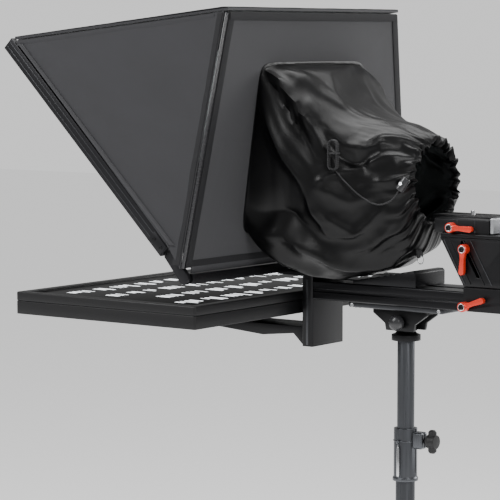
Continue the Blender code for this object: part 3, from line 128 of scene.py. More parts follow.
for name, place, aim, size, power in (
    ("key_softbox", (2.2, -1.6, 3.0), (0, -0.1, 1.1), 1.6, 90),
    ("rear_softbox", (1.2, 2.6, 2.6), (0, 0, 1.15), 1.1, 42),
    ("top_softbox", (-0.6, -0.2, 3.4), (0, -0.1, 1.1), 1.8, 55),
    ("far_softbox", (-2.6, 1.2, 1.9), (0, 0, 1.1), 1.4, 40),
):
    light = bpy.data.lights.new(name, "AREA")
    light.size, light.energy = size, power
    holder = bpy.data.objects.new(name, light)
    bpy.context.scene.collection.objects.link(holder)
    holder.location = place
    holder.rotation_mode = "QUATERNION"
    holder.rotation_quaternion = (Vector(aim) - Vector(place)).to_track_quat("-Z", "Y")

# Stand: the column's two tubes, the sliding collar, three folding legs and their struts.
# Drawn aluminium tube, anodised dark grey; moulded nylon hub and collar; pressed steel struts
# painted black; rubber feet. All are riveted together.


def grained(name, tones, roughness, grain, depth, stretch=(1, 1, 1), **constants):
    """A finish with two close tones, a spread of roughness and a fine relief, from one noise."""
    made, shader = new_material(name)
    coords = node(made, "ShaderNodeTexCoord")
    mapped = node(made, "ShaderNodeMapping", {"Vector": coords.outputs["Object"], "Scale": stretch})
    fine = node(made, "ShaderNodeTexNoise", {"Vector": mapped.outputs["Vector"], "Scale": grain,
                                             "Detail": 3.0})
    tone = node(made, "ShaderNodeMixRGB", {"Fac": fine.outputs["Fac"], "Color1": linear(tones[0]),
                                           "Color2": linear(tones[1])})
    spread = node(made, "ShaderNodeMapRange", {"Value": fine.outputs["Fac"], "From Min": 0.3, "From Max": 0.7,
                                               "To Min": roughness[0], "To Max": roughness[1]})
    relief = node(made, "ShaderNodeBump", {"Height": fine.outputs["Fac"], "Strength": 0.5, "Distance": depth})
    wire(made, shader, {"Base Color": tone.outputs["Color"], "Roughness": spread.outputs["Result"],
                        "Normal": relief.outputs["Normal"]})
    wire(made, shader, {key.replace("_", " "): value for key, value in constants.items()})
    return made


# Dark grey anodising: the draw lines along the tube give long soft streaks in the highlight.
grey_anodising = grained("dark_grey_anodising", ("#54565A", "#66686C"), (0.26, 0.36), 700.0, 0.00002,
                         (1, 1, 0.02), Metallic=0.9)
# Moulded nylon: black with a fine, even grain that keeps the highlights broad and dull.
moulded_nylon = grained("moulded_nylon", ("#0F0F10", "#171718"), (0.46, 0.60), 1400.0, 0.00006)
# Black anodising on blasted aluminium: a soft satin sheen that runs brighter along the edges.
black_anodising = grained("black_anodising", ("#0E0E0F", "#17171A"), (0.34, 0.46), 1800.0, 0.00004,
                          Metallic=0.55)
# Rubber: matt and slightly grey, so that it reads softer than the plastic round it.
rubber = grained("black_rubber", ("#1B1B1B", "#262626"), (0.75, 0.9), 900.0, 0.00008)
# Zinc or chrome plating: bright, with the faint orange peel of a plated part.
chrome = grained("bright_chrome", ("#C9CACC", "#D6D7D9"), (0.10, 0.18), 400.0, 0.00001, Metallic=1.0)


def refined(name, body, finish, width=0.0006, segments=2):
    """A copy of a CAD node with its faces merged and its edges eased, which stands for the node."""
    piece = bpy.data.objects.new(name + "_piece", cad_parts[name].data.copy())
    bpy.context.scene.collection.objects.link(piece)
    choose(piece)
    bpy.ops.mesh.customdata_custom_splitnormals_clear()
    bpy.ops.object.mode_set(mode="EDIT")
    bpy.ops.mesh.select_mode(type="VERT")
    bpy.ops.mesh.select_all(action="SELECT")
    bpy.ops.mesh.remove_doubles(threshold=0.00001)
    bpy.ops.mesh.dissolve_limited(angle_limit=math.radians(1.5))
    bpy.ops.object.mode_set(mode="OBJECT")
    ease(piece, width, segments)
    place_material(piece, finish)
    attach(piece, body)
    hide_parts(name)
    return piece


def ease(piece, width, segments=2):
    """Rounds a piece's edges and shades it smooth between the sharp ones."""
    choose(piece)
    rounding = piece.modifiers.new("rounding", "BEVEL")
    rounding.width = width
    rounding.segments = segments
    rounding.limit_method = "ANGLE"
    rounding.angle_limit = math.radians(32)
    bpy.ops.object.modifier_apply(modifier=rounding.name)
    bpy.ops.object.shade_smooth_by_angle(angle=math.radians(32))


def settle():
    """Puts the active piece's place and turn into its mesh."""
    bpy.ops.object.transform_apply(location=True, rotation=True, scale=True)


def bar(name, centre, size, finish, width=0.0004, turn=(0, 0, 0)):
    """A bar or small plate with eased edges, turned about its own centre."""
    deselect()
    bpy.ops.mesh.primitive_cube_add(size=1, location=centre, rotation=turn)
    piece = bpy.context.object
    piece.name = name
    piece.scale = size
    settle()
    ease(piece, width)
    place_material(piece, finish)
    return piece


def socket_screw(name, seat, axis, diameter, height, finish, sides=24):
    """A screw head that stands on its seat along an axis, with a socket sunk in it."""
    axis = Vector(axis).normalized()
    turn = axis.to_track_quat("Z", "Y")
    deselect()
    bpy.ops.mesh.primitive_cylinder_add(vertices=sides, radius=diameter / 2, depth=height,
                                        location=Vector(seat) + axis * height / 2, rotation=turn.to_euler())
    piece = bpy.context.object
    piece.name = name
    settle()
    top = max(piece.data.polygons, key=lambda face: face.center.dot(axis)).index
    bpy.ops.object.mode_set(mode="EDIT")
    bpy.ops.mesh.select_mode(type="FACE")
    bpy.ops.mesh.select_all(action="DESELECT")
    bpy.ops.object.mode_set(mode="OBJECT")
    piece.data.polygons[top].select = True
    bpy.ops.object.mode_set(mode="EDIT")
    bpy.ops.mesh.inset(thickness=diameter * 0.24)
    bpy.ops.mesh.extrude_region_move(TRANSFORM_OT_translate={"value": tuple(-axis * height * 0.6)})
    bpy.ops.object.mode_set(mode="OBJECT")
    ease(piece, diameter * 0.04, 2)
    place_material(piece, finish)
    return piece


def joined(name, body, slot, *pieces):
    """Several separate solids as one object on a body."""
    deselect()
    for piece in pieces:
        piece.select_set(True)
    bpy.context.view_layer.objects.active = pieces[0]
    if len(pieces) > 1:
        bpy.ops.object.join()
    made = bpy.context.view_layer.objects.active
    made.name = name
    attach(made, body)
    return made


refined("lower_tube", "stand", grey_anodising, 0.0003)
refined("upper_tube", "column", grey_anodising, 0.0003)
refined("strut_hub", "stand", moulded_nylon, 0.0010)
refined("leg_collar", "leg_collar", moulded_nylon, 0.0010)
refined("leg_collar_knob", "leg_collar_knob", moulded_nylon, 0.0012, 3)
hub_rivets, collar_rivets = [], []
for number in range(3):
    turn = Matrix.Rotation(math.tau * number / 3, 4, "Z")
    column_axis = Matrix.Translation((0, 0.0646, 0))
    spin = column_axis @ turn @ column_axis.inverted()
    leg = refined(f"leg_{number + 1}", f"leg_{number + 1}", grey_anodising, 0.0012, 3)
    leg.data.materials.append(rubber)
    for face in leg.data.polygons:
        face.material_index = 1 if face.center.z < 0.0135 else 0
    refined(f"leg_strut_{number + 1}", f"leg_strut_{number + 1}", black_anodising, 0.0005)
    pivots = []
    for side in (-1, 1):
        axis = turn @ Vector((side, 0, 0))
        for height, rivets in ((0.372, collar_rivets), (0.0519, hub_rivets)):
            seat = spin @ Vector((side * 0.0112, 0.0306, height))
            rivets.append(socket_screw("rivet", seat, axis, 0.008, 0.0016, chrome))
        seat = spin @ Vector((side * 0.0100, -0.1743, 0.2120))
        pivots.append(socket_screw("rivet", seat, axis, 0.008, 0.0016, chrome))
    joined(f"strut_rivets_{number + 1}", f"leg_strut_{number + 1}", "chrome", *pivots)
joined("hub_rivets", "stand", "chrome", *hub_rivets)
joined("collar_rivets", "leg_collar", "chrome", *collar_rivets)

# Column clamp: a cast split collar with a threaded boss, closed by a black wing knob.
# Its chrome pin hangs from a small eye. The casting is painted the tubes' dark grey.
refined("column_clamp", "stand", grey_anodising, 0.0009, 3)
refined("column_knob", "column_knob", moulded_nylon, 0.0014, 3)
refined("safety_pin", "safety_pin", chrome, 0.0003)
clamp_low, clamp_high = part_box("column_clamp")
seam = bar("clamp_seam", (0, clamp_low.y + 0.0016, (clamp_low.z + clamp_high.z) / 2),
           (0.0016, 0.0008, 0.058), rubber, 0.0002)
collar_ring = []
for height in (clamp_low.z + 0.004, clamp_high.z - 0.018):
    deselect()
    bpy.ops.mesh.primitive_torus_add(major_radius=0.0171, minor_radius=0.0009, major_segments=48,
                                     minor_segments=10,
                                     location=(0, 0.0646, height))
    ring = bpy.context.object
    settle()
    place_material(ring, grey_anodising)
    bpy.ops.object.shade_smooth()
    collar_ring.append(ring)
joined("clamp_trim", "stand", "tube_grey", seam, *collar_ring)

# Tilt head: a machined socket on the column, a folded bracket round it and a ball knob on the
# tilt bolt. The plate on top takes the rail, held by countersunk screws. All black anodised.
refined("tilt_socket", "column", black_anodising, 0.0005)
refined("head_bracket", "head", black_anodising, 0.0007)
# Ball knob: the same nylon, polished by hands, so that one small bright highlight sits on it; its tone is
# also painted lighter than the moulded nylon, as painted highlight.
polished_nylon_and_painted_highlight = grained("polished_nylon_and_painted_highlight", ("#2A2A2C", "#363638"), (0.22, 0.30), 600.0, 0.00002)
refined("tilt_knob", "tilt_knob", polished_nylon_and_painted_highlight, 0.0006, 3)
# Machined plate: the cutter's marks leave it a lighter, silkier grey than the cast parts. The same lighter
# grey is painted on thin strips, seams and ribs elsewhere, as painted highlight.
machined_grey_and_painted_highlight = grained("machined_grey_and_painted_highlight", ("#3A3B3D", "#4B4C4F"), (0.30, 0.42), 900.0, 0.00003,
                        (1, 0.05, 1), Metallic=0.75)
refined("mounting_plate", "head", machined_grey_and_painted_highlight, 0.0007, 3)
plate_low, plate_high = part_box("mounting_plate")
plate_screws = []
for along in (plate_low.y + 0.007, plate_high.y - 0.007):
    middle = (plate_low.z + plate_high.z) / 2
    for side in (-1, 1):
        plate_screws.append(socket_screw("plate_screw", (side * 0.0299, along, middle), (side, 0, 0), 0.0056,
                                         0.0012, chrome))
        plate_screws.append(socket_screw("plate_screw", (side * 0.020, along + math.copysign(0.004, -along),
                                                         plate_low.z + 0.0001),
                                         (0, 0, -1), 0.0085, 0.0018, chrome))
joined("plate_screws", "head", "chrome", *plate_screws)

# Base rail: an aluminium extrusion with a slot along its top and a groove along each side.
# The die leaves faint streaks along it, and the eased corners catch a long bright line.
extruded_black = grained("extruded_black", ("#0E0E10", "#19191C"), (0.26, 0.40), 1100.0, 0.00003,
                         (1, 0.012, 1), Metallic=0.6)
refined("base_rail", "head", extruded_black, 0.0006, 3)

# Wedge rest: a moulded block with a ribbed slope on which a camera plate can lie.
wedge = refined("rail_wedge", "head", extruded_black, 0.0005)
# Tread: chequered ribs, painted pale on their raised tops as painted highlight; the rubber between them is
# dark.
tread, shader = new_material("chequered_rubber")
coords = node(tread, "ShaderNodeTexCoord")
turned_coords = node(tread, "ShaderNodeMapping", {"Vector": coords.outputs["Object"],
                                                  "Rotation": (0, 0, math.radians(45))})
chequer = node(tread, "ShaderNodeTexVoronoi", {"Vector": turned_coords.outputs["Vector"], "Scale": 230.0,
                                               "Randomness": 0.15},
               distance="CHEBYCHEV")
height_of = node(tread, "ShaderNodeMapRange", {"Value": chequer.outputs["Distance"], "From Min": 0.1,
                                               "From Max": 0.5,
                                               "To Min": 1.0, "To Max": 0.0})
# Pale on the raised tops of the chequer: painted highlight.
painted_tread_highlight = node(tread, "ShaderNodeMixRGB", {"Fac": height_of.outputs["Result"], "Color1": linear("#131314"),
                                        "Color2": linear("#55555A")})
relief = node(tread, "ShaderNodeBump", {"Height": height_of.outputs["Result"], "Strength": 0.9,
                                        "Distance": 0.0006})
wire(tread, shader, {"Base Color": painted_tread_highlight.outputs["Color"], "Normal": relief.outputs["Normal"],
                     "Roughness": 0.5})
wedge.data.materials.append(tread)
for face in wedge.data.polygons:
    if face.normal.z > 0.5 and face.center.y < 0.096 and face.area > 2e-5:
        face.material_index = 1

# Front upright and crossbar: two lengths of anodised bar. The upright is bolted across the
# rail's end, and the crossbar lies on its saddle and carries the hood's two hinge pins.
refined("front_upright", "head", black_anodising, 0.0012, 3)
refined("hood_crossbar", "head", extruded_black, 0.0008, 3)
upright_screws = []
for side in (-1, 1):
    for height in (0.972, 0.985):
        upright_screws.append(socket_screw("upright_screw", (side * 0.024, -0.0898, height), (0, -1, 0),
                                           0.0085, 0.0030, black_anodising))
    upright_screws.append(socket_screw("upright_screw", (side * 0.026, -0.1214, 1.0174), (0, 0, 1), 0.0085,
                                       0.0022, black_anodising))
joined("upright_screws", "head", "aluminium_black", *upright_screws)
# A lighter strip down each side of the upright: painted highlight, a bright line along its groove.
for side in (-1, 1):
    groove = bar("upright_groove_highlight", (side * 0.0401, -0.0802, 0.9450), (0.0006, 0.0040, 0.0960), machined_grey_and_painted_highlight,
                 0.0002)
    joined(f"upright_edge_{'right' if side > 0 else 'left'}", "head", "aluminium_black", groove)

# Monitor: a flat display lying face up. Matt black moulded bezel and back shell that meet in a
# shadow gap, a glossy panel sunk in the bezel, and three small keys in the rear edge.
# Matt ABS: spark-eroded texture, just rough enough to blur reflections into a pale sheen.
matt_abs = grained("matt_abs", ("#08080A", "#0F0F11"), (0.40, 0.54), 1600.0, 0.00005,
                   Specular_IOR_Level=0.4)
refined("monitor_bezel", "head", matt_abs, 0.0014, 3)
refined("monitor_back_shell", "head", matt_abs, 0.0011, 3)
# The keys wear the lighter polished tone, which is painted highlight.
for key in ("power_key", "menu_key", "select_key"):
    refined(key, key, polished_nylon_and_painted_highlight, 0.0005, 2)
shell_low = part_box("monitor_back_shell")[0]
ribs = []
for side in (-1, 1):
    for count in range(14):
        ribs.append(bar("vent_rib", (side * (0.085 + 0.0065 * count), -0.2654, shell_low.z - 0.0002),
                        (0.0028, 0.070, 0.0010), matt_abs, 0.0003))
    for along in (-0.385, -0.145):
        ribs.append(socket_screw("shell_screw", (side * 0.235, along, shell_low.z + 0.0149), (0, 0, -1),
                                 0.0070, 0.0014, matt_abs))
joined("shell_vents", "head", "black_plastic", *ribs)
# Display glass: etched and coated against reflections, so that it stays black at a low angle.
panel_glass = grained("anti_reflection_glass", ("#020203", "#040405"), (0.30, 0.36), 2400.0, 0.00001,
                      Specular_IOR_Level=0.05)
refined("display_panel", "head", panel_glass, 0.0002)
# The lit script: rows of plain white bars that stand for mirrored words, with no lettering.
lit_white, shader = new_material("lit_pixels")
wire(lit_white, shader, {"Base Color": linear("#E8ECF0"), "Roughness": 0.4,
                         "Emission Color": linear("#F4F7FA"),
                         "Emission Strength": 2.2})
panel_low, panel_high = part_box("display_panel")
chance = random.Random(7)
STROKE_PITCH = 0.0105
words = []
for row in range(4):
    across = panel_low.x + 0.030
    depth = panel_high.y - 0.046 - 0.068 * row
    while across < panel_high.x - 0.060:
        length = chance.choice((0.018, 0.026, 0.034, 0.046))
        strokes = max(2, round(length / STROKE_PITCH))
        for stroke in range(strokes):
            tall = chance.choice((0.016, 0.024, 0.024, 0.032))
            deselect()
            bpy.ops.mesh.primitive_cube_add(size=1, location=(across + STROKE_PITCH * stroke,
                                                              depth + (tall - 0.024) / 2,
                                                               panel_high.z + 0.00004))
            mark = bpy.context.object
            mark.scale = (chance.choice((0.0034, 0.0052, 0.0064)), tall, 0.0001)
            settle()
            place_material(mark, lit_white)
            words.append(mark)
        across += STROKE_PITCH * strokes + 0.016
joined("lit_script", "head", "display", *words)

# Monitor bracket: a square plate on the monitor's four fixing points and a folded arm back to
# the upright, both cut from aluminium sheet and black anodised.
refined("monitor_mount_plate", "head", black_anodising, 0.0006)
refined("monitor_arm", "head", black_anodising, 0.0008)
mount_low, mount_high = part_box("monitor_mount_plate")
middle = (mount_low.y + mount_high.y) / 2
mount_screws = []
for across in (-0.050, 0.050):
    for along in (-0.050, 0.050):
        mount_screws.append(socket_screw("mount_screw", (across, middle + along, mount_low.z + 0.0001),
                                         (0, 0, -1), 0.0080, 0.0026, chrome))
joined("mount_screws", "head", "chrome", *mount_screws)

# Glass frame: four lengths of L-section aluminium round the glass, black anodised, with hinge
# arms at the lower corners. Two fine seams run along each side's outer face, painted a lighter grey as
# painted highlight.
frame_anodising = grained("frame_anodising", ("#19191B", "#252528"), (0.32, 0.44), 1500.0, 0.00003,
                          Metallic=0.6)
for side in ("left", "right", "top", "bottom"):
    refined(f"frame_{side}_rail", "hood", frame_anodising, 0.0007, 3)


def frame_point(x, along, out):
    """A point of the leaning frame: along it from its lower end, and out towards the speaker."""
    lean = math.sqrt(0.5)
    return Vector((x, -0.1434 - lean * (along + out), 1.055 + lean * (along - out)))


for side, label in ((-1, "left"), (1, "right")):
    trims = []
    # The seams' lighter grey is painted highlight.
    for out in (0.0060, 0.0135):
        trims.append(bar("frame_seam", frame_point(side * 0.2851, 0.205, out), (0.0006, 0.396, 0.0011),
                         machined_grey_and_painted_highlight,
                         0.0002, (math.radians(135), 0, 0)))
    trims.append(bar("corner_plate", frame_point(side * 0.2856, 0.016, 0.010), (0.0014, 0.030, 0.017),
                     frame_anodising,
                     0.0004, (math.radians(135), 0, 0)))
    for along in (0.007, 0.024):
        trims.append(socket_screw("corner_screw", frame_point(side * 0.2862, along, 0.010), (side, 0, 0),
                                  0.0055, 0.0010, black_anodising))
    joined(f"frame_trim_{label}", "hood", "aluminium_black", *trims)

# Beam-splitter glass: float glass with a half-mirror coating on the speaker's side. It mirrors
# about a third of what is in front of it and lets the rest through, a little darker.
half_mirror, shader = new_material("half_mirror_glass")
wire(half_mirror, shader, {"Base Color": linear("#C9D1D2"), "Roughness": 0.02, "IOR": 1.5,
                           "Transmission Weight": 1.0,
                           "Specular IOR Level": 0.9, "Coat Weight": 1.0, "Coat IOR": 2.4,
                           "Coat Roughness": 0.01})
refined("beam_splitter_glass", "hood", half_mirror, 0.0003)

# Hood: two sides, a top and a back of stiffened polyester cloth, folded and stitched to keep
# stray light off the glass. Each edge is bound with grosgrain tape, and a rod stiffens each rear fold.
# Hood cloth: charcoal plain weave, matt, with a dry bloom of light at a low angle.


def woven(name, dark, light, pitch, roughness, relief_depth, **constants):
    """A plain weave on the piece's own flat coordinates, which are in metres."""
    made, shader = new_material(name)
    flat = node(made, "ShaderNodeUVMap", uv_map="flat")
    threads = []
    for axis in ("X", "Y"):
        threads.append(node(made, "ShaderNodeTexWave", {"Vector": flat.outputs["UV"],
                                                        "Scale": math.tau / pitch / 20,
                                                        "Distortion": 0.6}, bands_direction=axis))
    both = node(made, "ShaderNodeMath", {0: threads[0].outputs["Fac"], 1: threads[1].outputs["Fac"]},
                operation="MULTIPLY")
    patches = node(made, "ShaderNodeTexNoise", {"Vector": flat.outputs["UV"], "Scale": 14.0, "Detail": 4.0,
                                                "Roughness": 0.7})
    mottled = node(made, "ShaderNodeMath", {0: both.outputs["Value"], 1: patches.outputs["Fac"]},
                   operation="MULTIPLY")
    tone = node(made, "ShaderNodeMixRGB", {"Fac": mottled.outputs["Value"], "Color1": linear(dark),
                                           "Color2": linear(light)})
    relief = node(made, "ShaderNodeBump", {"Height": both.outputs["Value"], "Strength": 0.5,
                                           "Distance": relief_depth})
    wire(made, shader, {"Base Color": tone.outputs["Color"], "Normal": relief.outputs["Normal"],
                        "Roughness": roughness})
    wire(made, shader, {key.replace("_", " "): value for key, value in constants.items()})
    return made


hood_cloth = woven("stiffened_polyester", "#1F1F22", "#414147", 0.0011, 0.85, 0.00015, Sheen_Weight=0.25,
                   Sheen_Roughness=0.5)
# Grosgrain tape: black and ribbed across, a touch shinier than the cloth.
grosgrain, shader = new_material("grosgrain_tape")
flat = node(grosgrain, "ShaderNodeUVMap", uv_map="flat")
rib = node(grosgrain, "ShaderNodeTexWave", {"Vector": flat.outputs["UV"], "Scale": math.tau / 0.0015 / 20,
                                            "Distortion": 0.3},
           bands_direction="X")
tone = node(grosgrain, "ShaderNodeMixRGB", {"Fac": rib.outputs["Fac"], "Color1": linear("#0B0B0C"),
                                            "Color2": linear("#262629")})
relief = node(grosgrain, "ShaderNodeBump", {"Height": rib.outputs["Fac"], "Strength": 0.8,
                                            "Distance": 0.0003})
wire(grosgrain, shader, {"Base Color": tone.outputs["Color"], "Normal": relief.outputs["Normal"],
                         "Roughness": 0.72,
                         "Specular IOR Level": 0.3})


def cloth(name, rows, thickness, finish, closed=False, smooth=True):
    """Cloth through rows of points, each vertex with its flat coordinates, thickened inwards."""
    count = len(rows[0])
    points = [p for row in rows for p in row]
    faces, flats = [], []
    down = [0.0]
    for a, b in zip(rows, rows[1:]):
        down.append(down[-1] + sum((q - p).length for p, q in zip(a, b)) / count)
    across = []
    for row in rows:
        ring = [*row, row[0]]
        run = [0.0]
        for p, q in zip(ring, ring[1:]):
            run.append(run[-1] + (q - p).length)
        across.append(run)
    for r in range(len(rows) - 1):
        for i in range(count if closed else count - 1):
            j = (i + 1) % count
            faces.append((r * count + i, r * count + j, (r + 1) * count + j, (r + 1) * count + i))
            flats += [(across[r][i], down[r]), (across[r][i + 1], down[r]),
                      (across[r + 1][i + 1], down[r + 1]), (across[r + 1][i], down[r + 1])]
    mesh = bpy.data.meshes.new(name)
    mesh.from_pydata(points, [], faces)
    layer = mesh.uv_layers.new(name="flat")
    for loop, place in zip(layer.data, flats):
        loop.uv = place
    piece = bpy.data.objects.new(name, mesh)
    bpy.context.scene.collection.objects.link(piece)
    place_material(piece, finish)
    flat_area = sum(face.area for face in mesh.polygons)
    choose(piece)
    body = piece.modifiers.new("body", "SOLIDIFY")
    body.thickness = thickness
    body.offset = -1
    bpy.ops.object.modifier_apply(modifier=body.name)
    if smooth:
        bpy.ops.object.shade_smooth_by_angle(angle=math.radians(50))
    return piece, flat_area


def side_x(y, z):
    return 0.285 - 0.069 * (y - 0.0646 + z - 0.847) / 0.381


def back_y(z):
    return -0.1174 + 0.026 * (z - 1.024) / 0.360


def top_z(y):
    return 1.3421 + 0.0419 * (y + 0.4305) / 0.3391


def patch(corners, across, along, bow, seed):
    """Rows of points over a four-cornered panel, bowed and rumpled a little along its normal."""
    a, b, c, d = (Vector(p) for p in corners)
    normal = (b - a).cross(d - a).normalized()
    rows = []
    for r in range(along + 1):
        v = r / along
        row = []
        for i in range(across + 1):
            u = i / across
            p = a.lerp(b, u).lerp(d.lerp(c, u), v)
            held = math.sin(math.pi * u) ** 0.6 * math.sin(math.pi * v) ** 0.6
            rumple = noise.noise(Vector((p.x * 6 + seed, p.y * 6, p.z * 6)))
            rumple += 0.4 * noise.noise(Vector((p.x * 17, p.y * 17 + seed, p.z * 17)))
            row.append(p + normal * held * (bow + 0.0011 * rumple))
        rows.append(row)
    return rows


def band(name, first, second, inward, width, lift, finish=None):
    """A tape along an edge, from the edge's line inward, lifted off the cloth below it."""
    first, second, inward = Vector(first), Vector(second), Vector(inward).normalized()
    normal = (second - first).cross(inward).normalized()
    if normal.dot(lift) < 0:
        normal = -normal
    steps = max(8, round((second - first).length / 0.012))
    rows = []
    for k in range(4):
        row = []
        for i in range(steps + 1):
            p = first.lerp(second, i / steps) + inward * width * k / 3
            swell = 0.0010 + (0.0004 if k in (1, 2) else 0.0)
            row.append(p + normal * (swell + 0.00025 * noise.noise(p * 40)))
        rows.append(row)
    if (rows[0][1] - rows[0][0]).cross(rows[1][0] - rows[0][0]).dot(normal) < 0:
        rows = [row[::-1] for row in rows]
    return cloth(name, rows, 0.0014, finish or grosgrain)[0]


frame_top = (-0.4219, top_z(-0.4219) - 0.0046)
rear_top = (-0.0974, top_z(-0.0974) - 0.0046)
rear_foot = (back_y(1.026) - 0.0050, 1.026)
low_front = (-0.1438, 1.0554)
for side, label in ((-1, "left"), (1, "right")):
    def on_side(y, z, proud=0.0):
        return Vector((side * (side_x(y, z) + proud), y, z))

    corners = [on_side(*low_front), on_side(*rear_foot), on_side(*rear_top), on_side(*frame_top)]
    rows = patch(corners, 30, 40, 0.0, 3.0 + side)
    if side < 0:
        rows = [row[::-1] for row in rows]
    panel, area = cloth(f"hood_{label}_cloth", rows, 0.0030, hood_cloth)
    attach(panel, "hood")
    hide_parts(f"hood_side_{label}")
    out = Vector((side, 0, 0))
    tapes = [
        band("fold_tape", on_side(rear_foot[0] - 0.001, 1.030),
             on_side(rear_top[0] - 0.001, rear_top[1] - 0.002), (0, -1, 0), 0.0125, out),
        band("top_hem", on_side(frame_top[0] + 0.002, frame_top[1] - 0.001),
             on_side(rear_top[0] - 0.014, rear_top[1] - 0.003), (0, 0, -1), 0.0070, out, hood_cloth),
        band("frame_hem", on_side(low_front[0] + 0.003, low_front[1] + 0.002),
             on_side(frame_top[0] + 0.004, frame_top[1] - 0.005), (0, 1, 0), 0.0080, out, hood_cloth),
    ]
    binding = joined(f"hood_{label}_binding", "hood", "hood_fabric", *tapes)
    # The rod wears the lighter polished tone: painted highlight along it.
    refined(f"hood_rod_{label}", "hood", polished_nylon_and_painted_highlight, 0.0004)

corners = [(-side_x(-0.4245, 1.3431), -0.4245, top_z(-0.4245)),
           (side_x(-0.4245, 1.3431), -0.4245, top_z(-0.4245)),
           (0.216, -0.0914, 1.384), (-0.216, -0.0914, 1.384)]
panel, area = cloth("hood_top_cloth", patch(corners, 44, 30, -0.0012, 9.0), 0.0030, hood_cloth)
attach(panel, "hood")
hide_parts("hood_top_panel")
up = Vector((0, 0, 1))
tapes = [band("rear_tape", corners[3], corners[2], (0, -1, 0), 0.0110, up)]
for side in (-1, 1):
    front, rear = Vector(corners[1 if side > 0 else 0]), Vector(corners[2 if side > 0 else 3])
    tapes.append(band("side_tape", front, rear + Vector((0, -0.012, 0)), (-side, 0, 0), 0.0110, up))
binding = joined("hood_top_binding", "hood", "hood_fabric", *tapes)


def back_edge(z, side, inset=0.0):
    y = back_y(z)
    return Vector((side * (side_x(y, z) - 0.0056 - inset), y, z))


def rounded(turn, half, low, high, squareness):
    """A point of a rounded rectangle across Y, as (x, z)."""
    c, s = math.cos(turn), math.sin(turn)
    power = 2 / squareness
    x = half * math.copysign(abs(c) ** power, c)
    z = (low + high) / 2 + (high - low) / 2 * math.copysign(abs(s) ** power, s)
    return x, z


foot_z, head_z = 1.0265, 1.3782
window_half, window_low, window_high = 0.125, 1.086, 1.298
rim = 120
rows = []
for step in range(15):
    share = step / 14
    row = []
    for i in range(rim):
        turn = math.tau * i / rim
        x, z = rounded(turn, window_half, window_low, window_high, 13)
        c, s = math.cos(turn), math.sin(turn)
        reach = max(abs(c), abs(s))
        z_out = (foot_z + head_z) / 2 + (head_z - foot_z) / 2 * s / reach
        x_out = back_edge(z_out, 1).x * c / reach
        px, pz = x + (x_out - x) * share, z + (z_out - z) * share
        held = math.sin(math.pi * share)
        row.append(Vector((px, back_y(pz) + held * 0.0010 * noise.noise(Vector((px * 7, 4.0, pz * 7))), pz)))
    rows.append(row)
panel, area = cloth("hood_back_cloth", rows, 0.0030, hood_cloth, closed=True)
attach(panel, "hood")
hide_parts("hood_back_panel")
out = Vector((0, 1, 0))
tapes = [
    band("top_tape", back_edge(head_z, -1), back_edge(head_z, 1), (0, 0, -1), 0.0110, out),
    band("foot_tape", back_edge(foot_z, -1), back_edge(foot_z, 1), (0, 0, 1), 0.0100, out),
]
# A flap of the same cloth hangs from the foot and closes the gap above the crossbar.
bar_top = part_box("hood_crossbar")[1].z
for side in (-1, 1):
    half = back_edge(foot_z, 1, 0.012).x
    tapes.append(band("foot_flap", (side * half, back_y(foot_z), foot_z + 0.002),
                      (side * 0.004, back_y(foot_z), foot_z + 0.002),
                      (0, 0, -1), foot_z - bar_top + 0.001, out, hood_cloth))
for side in (-1, 1):
    tapes.append(band("fold_tape", back_edge(foot_z + 0.004, side), back_edge(head_z - 0.003, side),
                      (-side, 0, 0), 0.0125, out))
binding = joined("hood_back_binding", "hood", "hood_fabric", *tapes)

# Lens sleeve: a loose tube of black satin nylon, sewn round the back panel's window and gathered
# by a drawstring at its mouth. It hangs in a few broad folds from its upper corners, and its bag
# ends just above the rail. Each section is (distance back, top, bottom, half width, squareness).
SECTIONS = (
    (-0.1020, 1.3060, 1.0640, 0.1420, 13.0),
    (-0.0634, 1.2900, 1.0080, 0.1370, 4.6),
    (-0.0274, 1.2600, 0.9975, 0.1250, 3.2),
    (0.0066, 1.2380, 1.0000, 0.1095, 2.6),
    (0.0406, 1.2270, 1.0120, 0.0960, 2.2),
    (0.0726, 1.2200, 1.0300, 0.0835, 2.0),
    (0.0976, 1.2090, 1.0420, 0.0720, 2.0),
    (0.1130, 1.2020, 1.0760, 0.0620, 2.0),
)
ROOT_MIDDLE, MOUTH_MIDDLE = 1.185, 1.14     # heights of the sleeve's middle at its two ends
SIDE_LENGTH = 0.235                         # from root to mouth along its side, on the flat cloth


def spline(values, place):
    """A smooth curve through evenly spaced values, at a place from 0 to the last one."""
    last = len(values) - 1
    i = min(int(place), last - 1)
    t = place - i
    a, b, c, d = (values[max(0, min(last, i + k))] for k in (-1, 0, 1, 2))
    return 0.5 * (2 * b + (c - a) * t + (2 * a - 5 * b + 4 * c - d) * t ** 2
                  + (3 * b - a - 3 * c + d) * t ** 3)


def sleeve_base(turn, share):
    """The sleeve's smooth shape, before its folds."""
    c, s = math.cos(turn), math.sin(turn)
    y, top, bottom, half, square = (spline([section[k] for section in SECTIONS],
                                           share * (len(SECTIONS) - 1)) for k in range(5))
    power = 2 / square
    z = (top + bottom) / 2 + (top - bottom) / 2 * math.copysign(abs(s) ** power, s)
    x = half * math.copysign(abs(c) ** power, c)
    root = max(0.0, 1 - share * 6)
    x *= 1 - 0.08 * root * (z - ROOT_MIDDLE) / 0.12
    y += root * (back_y(z) + 0.0015 - y) * root
    return Vector((x, y, z))


